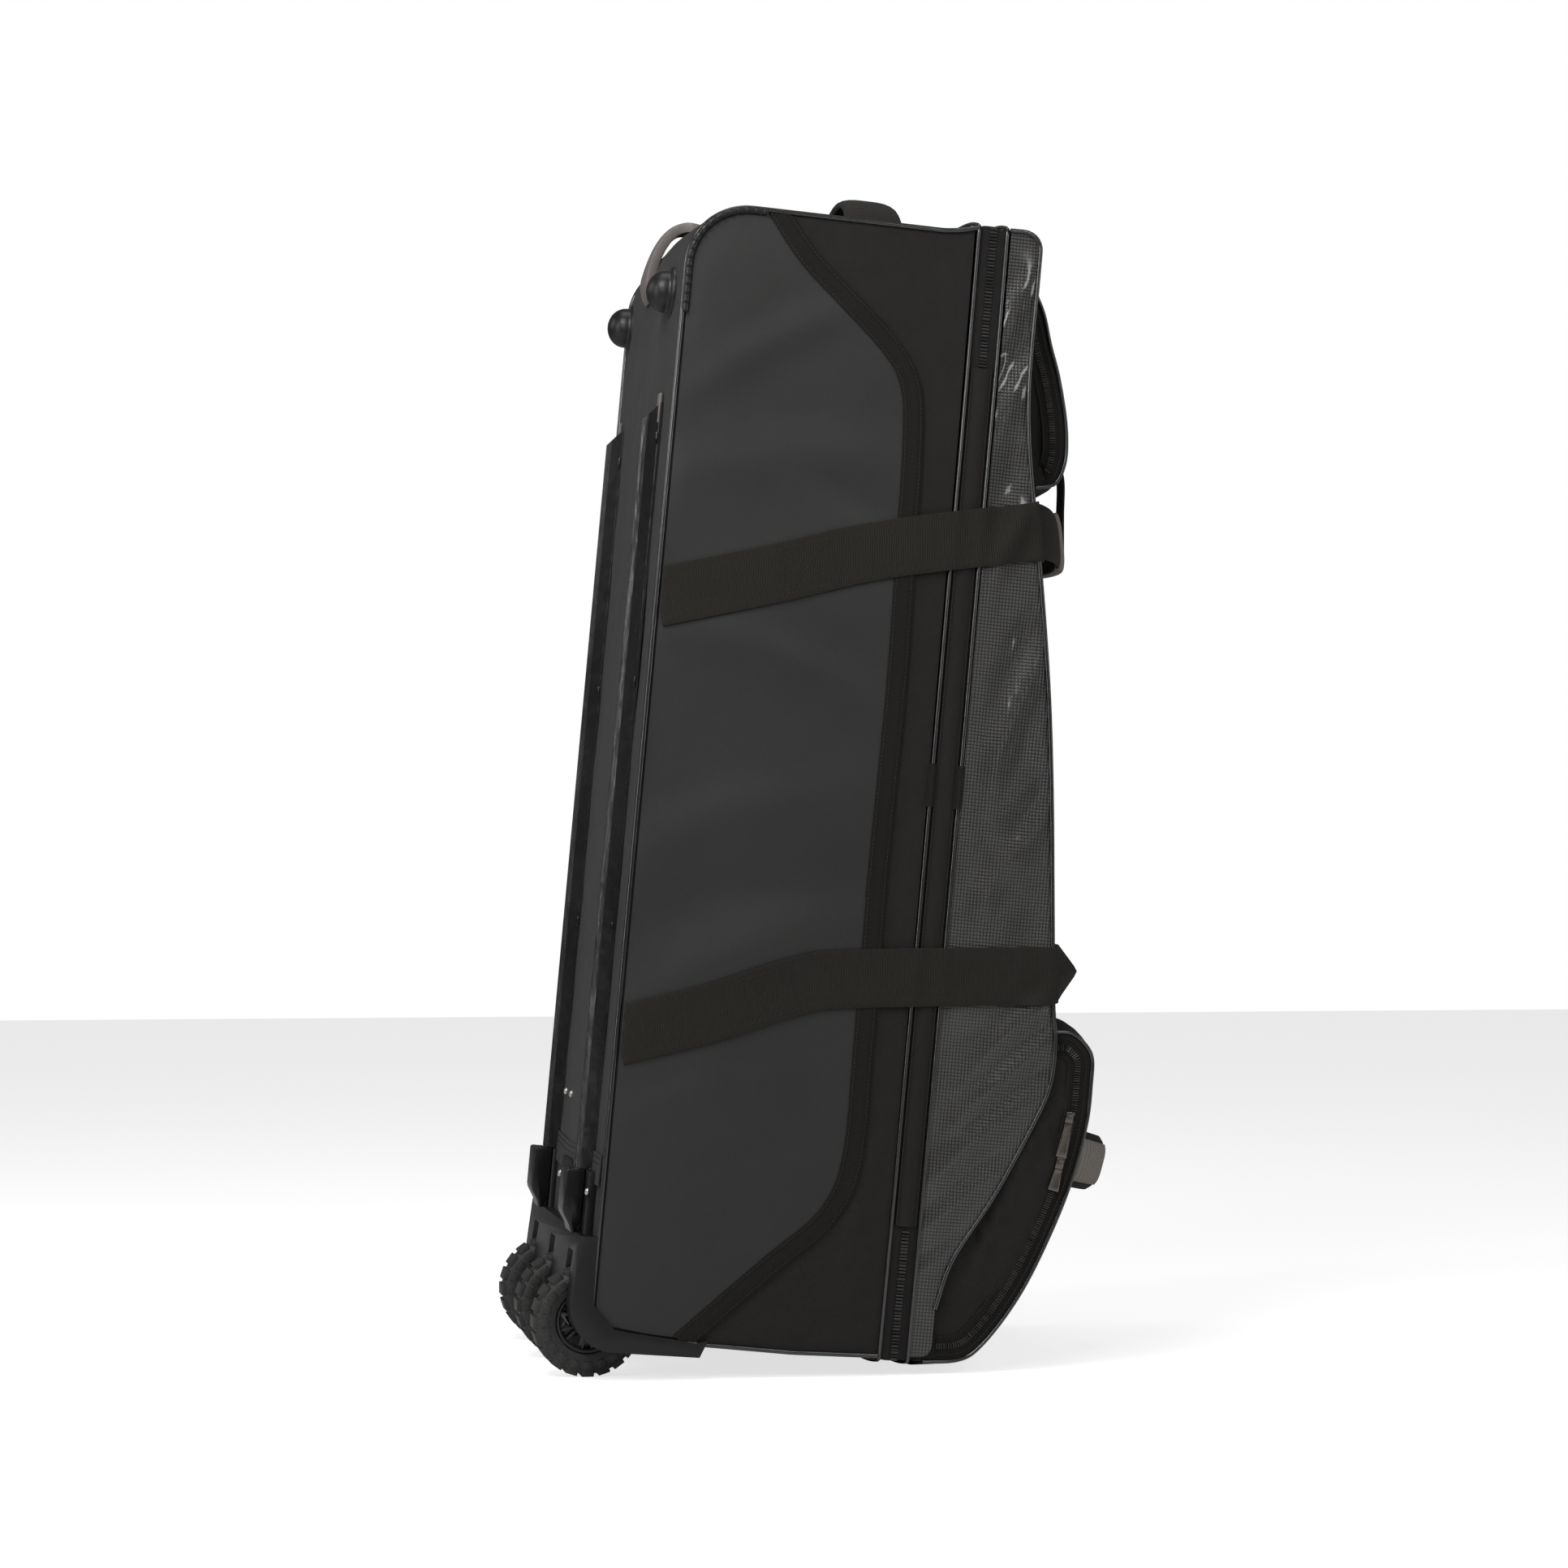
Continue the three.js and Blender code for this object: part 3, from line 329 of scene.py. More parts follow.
LID_EDGE = np.array([
    (0.29, 0.965), (0.29, 0.88), (0.33, 0.825), (0.42, 0.765), (0.54, 0.695), (0.68, 0.6), (0.78, 0.51),
    (0.87, 0.41), (0.95, 0.32), (1.0, 0.285), (0.98, 0.245), (0.86, 0.208), (0.6, 0.145), (0.3, 0.085),
    (0.19, 0.04)])
PANEL_EDGE = np.array([
    (0.26, 1.0), (0.38, 0.96), (0.524, 0.926), (0.692, 0.8875), (0.768, 0.86), (0.796, 0.818), (0.808, 0.70),
    (0.816, 0.578), (0.81, 0.43), (0.814, 0.26), (0.812, 0.17), (0.748, 0.12), (0.568, 0.073), (0.288, 0.0)])
STRAP_REACH = TUB_DEPTH + LID_DEPTH
STRAP_UPPER = np.array([(0.0, 0.647), (0.28, 0.6785), (0.54, 0.7095), (0.96, 0.744)])
STRAP_LOWER = np.array([(0.0, 0.259), (0.22, 0.286), (0.42, 0.316), (0.56, 0.327), (1.06, 0.3455)])


def lid_line() -> Array:
    """The lid's side edge from its top to its foot, as u, v and bulge."""
    u = LID_START + LID_EDGE[:, 0] * LID_DEPTH
    v = LID_EDGE[:, 1] * LENGTH
    return through(np.stack([u, v, np.full(len(u), FRONT_BULGE)], axis=1))


def body_outline() -> Array:
    """Side outline of the whole body, anticlockwise from the lower back corner."""
    lid = lid_line()
    top, foot = lid[0], lid[-1]
    corner = 0.010
    brow = 0.015
    high = LENGTH + TOP_RISE
    return np.vstack([
        arc(0.020, 0.020, 0.020, 180, 270, BACK_BULGE),
        [(TUB_DEPTH * 0.2, -END_BULGE * 0.55, END_BULGE), (TUB_DEPTH * 0.4, -END_BULGE * 0.85, END_BULGE)],
        [(TUB_DEPTH * 0.7, -END_BULGE, END_BULGE)],
        arc(foot[0] - corner, corner - END_BULGE / 2, corner, 270, 360, END_BULGE / 2),
        lid[::-1],
        arc(top[0] - brow, high - brow, brow, 0, 90, END_BULGE),
        [(TUB_DEPTH, high - 0.001, END_BULGE), (TUB_DEPTH - 0.014, LENGTH + TOP_RISE * 0.3, END_BULGE)],
        [(TUB_DEPTH - 0.03, LENGTH, END_BULGE)],
        arc(TOP_BACK_RADIUS, LENGTH - TOP_BACK_RADIUS, TOP_BACK_RADIUS, 90, 180, BACK_BULGE, 14),
        [(0.0, LENGTH * 0.5, BACK_BULGE)],
    ])


BODY = Form(body_outline(), HALF_WIDTH, SIDE_BULGE, (0.165, 0.47))

TUB_FOLDS = (
    Fold(0.10, 0.585, -14, 0.10, 0.022, 0.0024),
    Fold(0.08, 0.445, 20, 0.10, 0.030, 0.0026),
    Fold(0.12, 0.385, 14, 0.12, 0.028, -0.0030),
    Fold(0.09, 0.320, 24, 0.10, 0.026, 0.0024),
    Fold(0.07, 0.205, 20, 0.10, 0.020, 0.0022),
    Fold(0.13, 0.165, 14, 0.09, 0.024, -0.0024),
    Fold(0.10, 0.750, 8, 0.11, 0.034, 0.0026),
    Fold(0.17, 0.720, -30, 0.06, 0.020, -0.0026),
    Fold(0.08, 0.850, 32, 0.10, 0.020, 0.0022),
    Fold(0.22, 0.130, 80, 0.06, 0.012, 0.0024),
)
LID_FOLDS = (
    Fold(0.288, 0.905, 62, 0.050, 0.010, 0.0040),
    Fold(0.296, 0.865, 50, 0.050, 0.011, -0.0040),
    Fold(0.290, 0.820, 62, 0.050, 0.012, 0.0044),
    Fold(0.305, 0.770, 58, 0.050, 0.012, -0.0036),
    Fold(0.310, 0.715, 60, 0.060, 0.012, 0.0044),
    Fold(0.325, 0.625, 66, 0.060, 0.012, -0.0040),
    Fold(0.320, 0.560, 70, 0.070, 0.013, 0.0048),
    Fold(0.345, 0.480, 62, 0.060, 0.012, -0.0030),
    Fold(0.325, 0.430, 58, 0.060, 0.012, 0.0036),
    Fold(0.350, 0.292, 46, 0.060, 0.012, 0.0056),
    Fold(0.341, 0.264, 48, 0.060, 0.010, -0.0030),
    Fold(0.332, 0.236, 49, 0.070, 0.012, 0.0062),
    Fold(0.320, 0.207, 50, 0.060, 0.010, -0.0030),
    Fold(0.308, 0.178, 50, 0.060, 0.012, 0.0058),
    Fold(0.294, 0.120, 50, 0.050, 0.011, 0.0044),
    Fold(0.288, 0.075, 44, 0.040, 0.011, 0.0030),
)


def side_lift(u: Array, v: Array) -> Array:
    """Distance of the bag's side from its middle, with the cloth's soft folds.

    Args:
        u: Places out from the back.
        v: Places up the bag.

    Returns:
        The distance at each place.
    """
    held = np.clip((1 - BODY.reach(u, v)) / 0.06, 0, 1)
    reach = np.where(u > LID_START, 0.010, 0.022)
    seam = np.clip((np.abs(u - TUB_DEPTH - GUSSET / 2) - GUSSET * 0.56) / reach, 0, 1)
    calm = held * seam * seam * (3 - 2 * seam)
    folds = sum(fold.lift(u, v) for fold in TUB_FOLDS + LID_FOLDS)
    lid = np.clip((u - LID_START) / 0.02, 0, 1)
    broad = 0.0030 * soft_noise(u, v * 0.8, 0.11, 3.1)
    fine = (0.0005 + 0.0016 * lid) * soft_noise(u + 0.3 * v, v - 0.3 * u, 0.035, 8.7)
    return BODY.side(u, v) + calm * (folds + broad + fine)


# Meshes: primitives shaped in edit mode, and what finishes them

def deselect() -> None:
    """Leave edit mode and clear the selection."""
    if bpy.context.object and bpy.context.object.mode != "OBJECT":
        bpy.ops.object.mode_set(mode="OBJECT")
    bpy.ops.object.select_all(action="DESELECT")


def take(*objects: Piece) -> None:
    """Select these objects alone, the first one active."""
    deselect()
    for obj in objects:
        obj.select_set(True)
    bpy.context.view_layer.objects.active = objects[0]


class Editing:
    """A stretch of edit mode on one object, with all of it selected."""

    def __init__(self, obj: Piece) -> None:
        """Keep the object."""
        self.obj = obj

    def __enter__(self) -> None:
        """Enter edit mode."""
        take(self.obj)
        bpy.ops.object.mode_set(mode="EDIT")
        bpy.ops.mesh.select_all(action="SELECT")

    def __exit__(self, *_: object) -> None:
        """Leave edit mode."""
        bpy.ops.object.mode_set(mode="OBJECT")


def new_grid(name: str, columns: int, rows: int) -> Piece:
    """A new unit grid, selected alone."""
    deselect()
    bpy.ops.mesh.primitive_grid_add(x_subdivisions=columns, y_subdivisions=rows, size=1.0)
    bpy.context.object.name = name
    return bpy.context.object


def new_polygon(name: str, points: Array) -> Piece:
    """A new single face through points."""
    deselect()
    bpy.ops.mesh.primitive_circle_add(vertices=len(points), radius=1.0, fill_type="NGON")
    bpy.context.object.name = name
    write(bpy.context.object, points)
    return bpy.context.object


def extrude(obj: Piece, steps: Sequence[Sequence[float]]) -> None:
    """Push the whole face out by each step in turn, and turn the faces outwards."""
    with Editing(obj):
        for step in steps:
            bpy.ops.mesh.extrude_region_move(TRANSFORM_OT_translate={"value": tuple(step)})
        bpy.ops.mesh.select_all(action="SELECT")
        bpy.ops.mesh.normals_make_consistent(inside=False)


def read(obj: Piece) -> Array:
    """The vertices of a mesh object, as an (n, 3) array."""
    flat = np.empty(len(obj.data.vertices) * 3)
    obj.data.vertices.foreach_get("co", flat)
    return flat.reshape(-1, 3)


def write(obj: Piece, points: Array) -> None:
    """Move the vertices of a mesh object."""
    obj.data.vertices.foreach_set("co", np.ascontiguousarray(points, float).ravel())
    obj.data.update()


def set_uv(obj: Piece, u: Array, v: Array) -> None:
    """Write a UV map in metres from one value pair a vertex."""
    mesh = obj.data
    layer = mesh.uv_layers[0] if mesh.uv_layers else mesh.uv_layers.new(name="UVMap")
    corners = np.empty(len(mesh.loops), dtype=np.int64)
    mesh.loops.foreach_get("vertex_index", corners)
    layer.data.foreach_set("uv", np.stack([u[corners], v[corners]], axis=1).ravel())


def face_away(obj: Piece, inside: Sequence[float]) -> None:
    """Turn an open sheet's faces away from a place in (x, u, v).

    Args:
        obj: The sheet.
        inside: A place on its hidden side.
    """
    hidden = Vector(AXES.row(np.array([inside]))[0])
    total = sum(face.area * face.normal.dot(face.center - hidden) for face in obj.data.polygons)
    if total < 0:
        with Editing(obj):
            bpy.ops.mesh.flip_normals()


def grid_sheet(name: str, columns: int, rows: int, place: Place, size: tuple[float, float],
               inside: Sequence[float] | None = None, ribs_across: bool = False) -> Piece:
    """A grid laid over a surface.

    Args:
        name: Name of the piece.
        columns: Faces along the first direction.
        rows: Faces along the second direction.
        place: Gives (x, u, v) for shares from 0 to 1 in the two directions.
        size: Length of the sheet in the two directions, for its UV map.
        inside: A place in (x, u, v) on its hidden side, which its faces turn away from.
        ribs_across: Swap the UV map's directions, so that ribs run across the sheet.

    Returns:
        The new object.
    """
    obj = new_grid(name, columns, rows)
    points = read(obj)
    a, b = points[:, 0] + 0.5, points[:, 1] + 0.5
    write(obj, AXES.row(place(a, b)))
    u, v = a * size[0], b * size[1]
    set_uv(obj, *((v, u) if ribs_across else (u, v)))
    if inside is not None:
        face_away(obj, inside)
    return obj


def outline_sheet(name: str, outline: Array, step: float, lift: Place) -> Piece:
    """A sheet on the left side of the bag, cut to an outline and meshed in even squares.

    Args:
        name: Name of the piece.
        outline: Rows of u and v.
        step: Size of the squares.
        lift: Gives the distance from the middle of the bag.

    Returns:
        The new object.
    """
    obj = new_polygon(name, np.column_stack([outline, np.zeros(len(outline))]))
    low, high = outline.min(axis=0), outline.max(axis=0)
    with Editing(obj):
        for axis, normal in enumerate(np.eye(3)[:2]):
            for place in np.arange(low[axis] + step, high[axis] - step * 0.3, step):
                bpy.ops.mesh.select_all(action="SELECT")
                bpy.ops.mesh.bisect(plane_co=normal * place, plane_no=normal)
    points = read(obj)
    u, v = points[:, 0].copy(), points[:, 1].copy()
    write(obj, AXES.row(np.column_stack([-lift(u, v), u, v])))
    set_uv(obj, u, v)
    face_away(obj, (0.0, 0.15, 0.45))
    return obj


def thicken(obj: Piece, thickness: float, offset: float = -1.0, bevel: float = 0.0) -> None:
    """Give a sheet its thickness, and round its edges.

    Args:
        obj: The sheet.
        thickness: Thickness in metres.
        offset: -1 to grow inwards from the sheet, 0 for both ways, and 1 outwards.
        bevel: Radius of the edges.
    """
    take(obj)
    wall = obj.modifiers.new("wall", "SOLIDIFY")
    wall.thickness = thickness
    wall.offset = offset
    bpy.ops.object.modifier_apply(modifier=wall.name)
    if bevel:
        soften(obj, bevel)


def soften(obj: Piece, radius: float, segments: int = 2, angle: float = 40.0) -> None:
    """Round the sharp edges of a piece with an applied bevel."""
    take(obj)
    edge = obj.modifiers.new("edge", "BEVEL")
    edge.width = radius
    edge.segments = segments
    edge.limit_method = "ANGLE"
    edge.angle_limit = math.radians(angle)
    edge.use_clamp_overlap = True
    bpy.ops.object.modifier_apply(modifier=edge.name)


def tube(name: str, line: Array, radius: float, closed: bool = False, sides: int = 3) -> Piece:
    """A round cord along a line in (x, u, v).

    Args:
        name: Name of the piece.
        line: Rows of x, u and v.
        radius: Radius of the cord.
        closed: Whether its ends meet.
        sides: Blender's bevel resolution.

    Returns:
        The cord as a mesh object.
    """
    deselect()
    curve = bpy.data.curves.new(name, "CURVE")
    curve.dimensions = "3D"
    curve.bevel_depth = radius
    curve.bevel_resolution = sides
    curve.use_fill_caps = not closed
    spline = curve.splines.new("POLY")
    spline.points.add(len(line) - 1)
    spline.use_cyclic_u = closed
    places = np.column_stack([AXES.row(line), np.ones(len(line))])
    spline.points.foreach_set("co", places.ravel())
    obj = bpy.data.objects.new(name, curve)
    bpy.context.collection.objects.link(obj)
    take(obj)
    bpy.ops.object.convert(target="MESH")
    return bpy.context.object


def mirrored(obj: Piece, name: str) -> Piece:
    """A mirror copy of a left piece, with its own mesh, for the right side."""
    copy = obj.copy()
    copy.data = obj.data.copy()
    copy.name = name
    bpy.context.collection.objects.link(copy)
    points = read(copy)
    points[:, 0] *= -1
    write(copy, points)
    with Editing(copy):
        bpy.ops.mesh.flip_normals()
    return copy


def joined(name: str, objects: Sequence[Piece]) -> Piece:
    """Join pieces into one object."""
    take(*objects)
    if len(objects) > 1:
        bpy.ops.object.join()
    obj = bpy.context.object
    obj.name = name
    return obj


def repeated(name: str, unit: Piece, places: Sequence[Matrix]) -> Piece:
    """One mesh with a copy of a small unit at each place; the unit is used up.

    Args:
        name: Name of the piece.
        unit: A small modelled object about its own origin.
        places: Where each copy goes, in the row frame.

    Returns:
        The joined object.
    """
    points = read(unit)
    faces = [tuple(face.vertices) for face in unit.data.polygons]
    count = len(points)
    turns = np.array([np.array(place) for place in places])
    ones = np.column_stack([points, np.ones(count)])
    moved = np.einsum("nij,pj->npi", turns, ones)[:, :, :3].reshape(-1, 3)
    all_faces = [tuple(i + n * count for i in face) for n in range(len(places)) for face in faces]
    mesh = bpy.data.meshes.new(name)
    mesh.from_pydata(moved.tolist(), [], all_faces)
    obj = bpy.data.objects.new(name, mesh)
    bpy.context.collection.objects.link(obj)
    bpy.data.objects.remove(unit, do_unlink=True)
    return obj


def small_box(size: Sequence[float], bevel: float = 0.0) -> Piece:
    """A small block about its own origin, its edges bevelled in edit mode."""
    deselect()
    bpy.ops.mesh.primitive_cube_add(size=1.0)
    obj = bpy.context.object
    write(obj, read(obj) * np.array(size))
    if bevel:
        with Editing(obj):
            bpy.ops.mesh.bevel(offset=bevel, segments=2, affect="EDGES")
    return obj


def small_rod(radius: float, length: float, sides: int = 6) -> Piece:
    """A small rod along Y about its own origin."""
    deselect()
    bpy.ops.mesh.primitive_cylinder_add(vertices=sides, radius=radius, depth=length)
    obj = bpy.context.object
    points = read(obj)
    write(obj, points[:, [0, 2, 1]] * np.array([1, -1, 1]))
    return obj


def lathed(name: str, profile: Array, steps: int = 32, closed: bool = False) -> Piece:
    """A turned piece about its own Z axis, spun from a grid.

    Args:
        name: Name of the piece.
        profile: Rows of radius and height.
        steps: Faces round the axis.
        closed: Whether the profile is a closed ring that doesn't reach the axis.

    Returns:
        The object about its own origin.
    """
    line = np.vstack([profile, profile[:1]]) if closed else profile
    rows = len(line) - 1
    obj = new_grid(name, steps, rows)
    points = read(obj)
    radius, height = between((points[:, 1] + 0.5) * rows, line).T
    angle = 2 * math.pi * (points[:, 0] + 0.5)
    write(obj, np.column_stack([radius * np.cos(angle), radius * np.sin(angle), height]))
    with Editing(obj):
        bpy.ops.mesh.remove_doubles(threshold=1e-6)
        bpy.ops.mesh.normals_make_consistent(inside=False)
    return obj


def line_frames(line: Array, pitch: float, out: Sequence[float] | Array) -> list[Matrix]:
    """Places along a line: X along it, Z away from the surface.

    Args:
        line: Rows of x, u and v.
        pitch: Distance between places.
        out: The outward direction in (x, u, v), one for all or one a row.

    Returns:
        One matrix a place, in the row frame.
    """
    outs = np.broadcast_to(np.asarray(out, float), line.shape)
    table = spaced(np.hstack([line, outs]), pitch)
    points = AXES.row(table[:, :3])
    ups = AXES.row(table[:, 3:]) - AXES.row(np.zeros((1, 3)))
    result = []
    for point, x, z in zip(points, np.gradient(points, axis=0), ups):
        x_axis = Vector(x).normalized()
        y_axis = Vector(z).cross(x_axis).normalized()
        z_axis = x_axis.cross(y_axis)
        turn = Matrix((x_axis, y_axis, z_axis)).transposed().to_4x4()
        result.append(Matrix.Translation(Vector(point)) @ turn)
    return result


def spot_frame(spot: Sequence[float], way: Sequence[float], out: Sequence[float]) -> Matrix:
    """One place in (x, u, v), its X along a way and its Z outwards, just before the spot."""
    half = 0.002 * np.array(way)
    return line_frames(np.array([spot - half, spot + half]), 0.004, out)[0]


def at_x(x: float, u: float, v: float, turn: Matrix = Matrix.Identity(4)) -> Matrix:
    """A place in the bag's frame, as a matrix in the row frame."""
    return AXES.turn() @ Matrix.Translation((x, -u, v)) @ turn


def placed(obj: Piece, matrix: Matrix) -> Piece:
    """Move a piece's mesh by a matrix, so that its object stays at the origin."""
    obj.data.transform(matrix)
    obj.data.update()
    return obj


# Materials

class NodeBoard:
    """A node tree that is being wired."""

    def __init__(self, tree: bpy.types.NodeTree) -> None:
        """Keep the tree."""
        self.tree = tree

    def add(self, kind: str, values: dict | None = None, **settings: object) -> Node:
        """Add a node.

        Args:
            kind: The node's type name.
            values: Input sockets to fill, by name or number, with a value or another socket.
            settings: Properties to set on the node first.

        Returns:
            The node.
        """
        node = self.tree.nodes.new(kind)
        for key, value in settings.items():
            setattr(node, key, value)
        for key, value in (values or {}).items():
            if isinstance(value, Socket):
                self.tree.links.new(value, node.inputs[key])
            else:
                node.inputs[key].default_value = value
        return node

    def math(self, operation: str, *values: object) -> Socket:
        """A math node on numbers or sockets, as its output."""
        node = self.add("ShaderNodeMath", dict(enumerate(values)), operation=operation)
        return node.outputs[0]


def new_group(name: str, inputs: dict[str, object],
              outputs: Sequence[str]) -> tuple[NodeBoard, dict, Node]:
    """A shader node group with named sockets.

    Args:
        name: Name of the group.
        inputs: Input names with a default number, or None for a vector.
        outputs: Names of the value outputs.

    Returns:
        The board, its input sockets by name, and the output node.
    """
    tree = bpy.data.node_groups.new(name, "ShaderNodeTree")
    for key, value in inputs.items():
        kind = "NodeSocketVector" if value is None else "NodeSocketFloat"
        socket = tree.interface.new_socket(key, in_out="INPUT", socket_type=kind)
        if value is not None:
            socket.default_value = value
    for key in outputs:
        tree.interface.new_socket(key, in_out="OUTPUT", socket_type="NodeSocketFloat")
    board = NodeBoard(tree)
    entry = tree.nodes.new("NodeGroupInput")
    leave = tree.nodes.new("NodeGroupOutput")
    return board, {key: entry.outputs[key] for key in inputs}, leave


class Effects:
    """Shader groups that several finishes share, each built once."""

    @staticmethod
    @lru_cache(maxsize=None)
    def weave() -> bpy.types.NodeTree:
        """Plain weave: threads over and under at a pitch in metres."""
        board, given, leave = new_group("Weave", {"Vector": None, "Pitch": 0.001}, ["Height"])
        parts = board.add("ShaderNodeSeparateXYZ", {0: given["Vector"]})
        waves = []
        for axis in (0, 1):
            turns = board.math("DIVIDE", parts.outputs[axis], given["Pitch"])
            waves.append(board.math("SINE", board.math("MULTIPLY", turns, 2 * math.pi)))
        product = board.math("MULTIPLY", waves[0], waves[1])
        board.tree.links.new(board.math("MULTIPLY_ADD", product, 0.5, 0.5), leave.inputs["Height"])
        return board.tree

    @staticmethod
    @lru_cache(maxsize=None)
    def mottle() -> bpy.types.NodeTree:
        """Broad and fine unevenness of a surface, from 0 to 1."""
        scales = {"Broad": 9.0, "Fine": 900.0}
        board, given, leave = new_group("Mottle", {"Vector": None, **scales}, list(scales))
        for key, detail in (("Broad", 5.0), ("Fine", 3.0)):
            cloud = board.add("ShaderNodeTexNoise", {
                "Vector": given["Vector"], "Scale": given[key], "Detail": detail})
            board.tree.links.new(cloud.outputs[0], leave.inputs[key])
        return board.tree

    @staticmethod
    @lru_cache(maxsize=None)
    def dots() -> bpy.types.NodeTree:
        """Embossed grid of small pyramids at a pitch in metres."""
        board, given, leave = new_group("Dots", {"Vector": None, "Pitch": 0.003}, ["Height"])
        parts = board.add("ShaderNodeSeparateXYZ", {0: given["Vector"]})
        sides = []
        for axis in (0, 1):
            share = board.math("FRACT", board.math("DIVIDE", parts.outputs[axis], given["Pitch"]))
            sides.append(board.math("ABSOLUTE", board.math("SUBTRACT", share, 0.5)))
        far = board.math("MAXIMUM", sides[0], sides[1])
        height = board.math("SMOOTH_MIN", board.math("SUBTRACT", 0.5, far), 0.34, 0.1)
        board.tree.links.new(board.math("MULTIPLY", height, 3.0), leave.inputs["Height"])
        return board.tree

    @staticmethod
    @lru_cache(maxsize=None)
    def ribs() -> bpy.types.NodeTree:
        """Ribs across webbing, from a UV map that runs along it in metres."""
        board, given, leave = new_group("Ribs", {"Vector": None, "Pitch": 0.0016, "Slant": 0.0}, ["Height"])
        parts = board.add("ShaderNodeSeparateXYZ", {0: given["Vector"]})
        zig = board.math("PINGPONG", parts.outputs[1], 0.0045)
        along = board.math("ADD", parts.outputs[0], board.math("MULTIPLY", zig, given["Slant"]))
        turns = board.math("DIVIDE", along, given["Pitch"])
        rib = board.math("SINE", board.math("MULTIPLY", turns, 2 * math.pi))
        thread = board.math("SINE", board.math("MULTIPLY", parts.outputs[1], 2 * math.pi / 0.0011))
        both = board.math("MULTIPLY_ADD", thread, 0.18, rib)
        board.tree.links.new(board.math("MULTIPLY_ADD", both, 0.42, 0.5), leave.inputs["Height"])
        return board.tree


class Relief(Enum):
    """What stands up out of a finish."""

    WEAVE = "Weave"
    DOTS = "Dots"
    RIBS = "Ribs"
    GRAIN = "Grain"


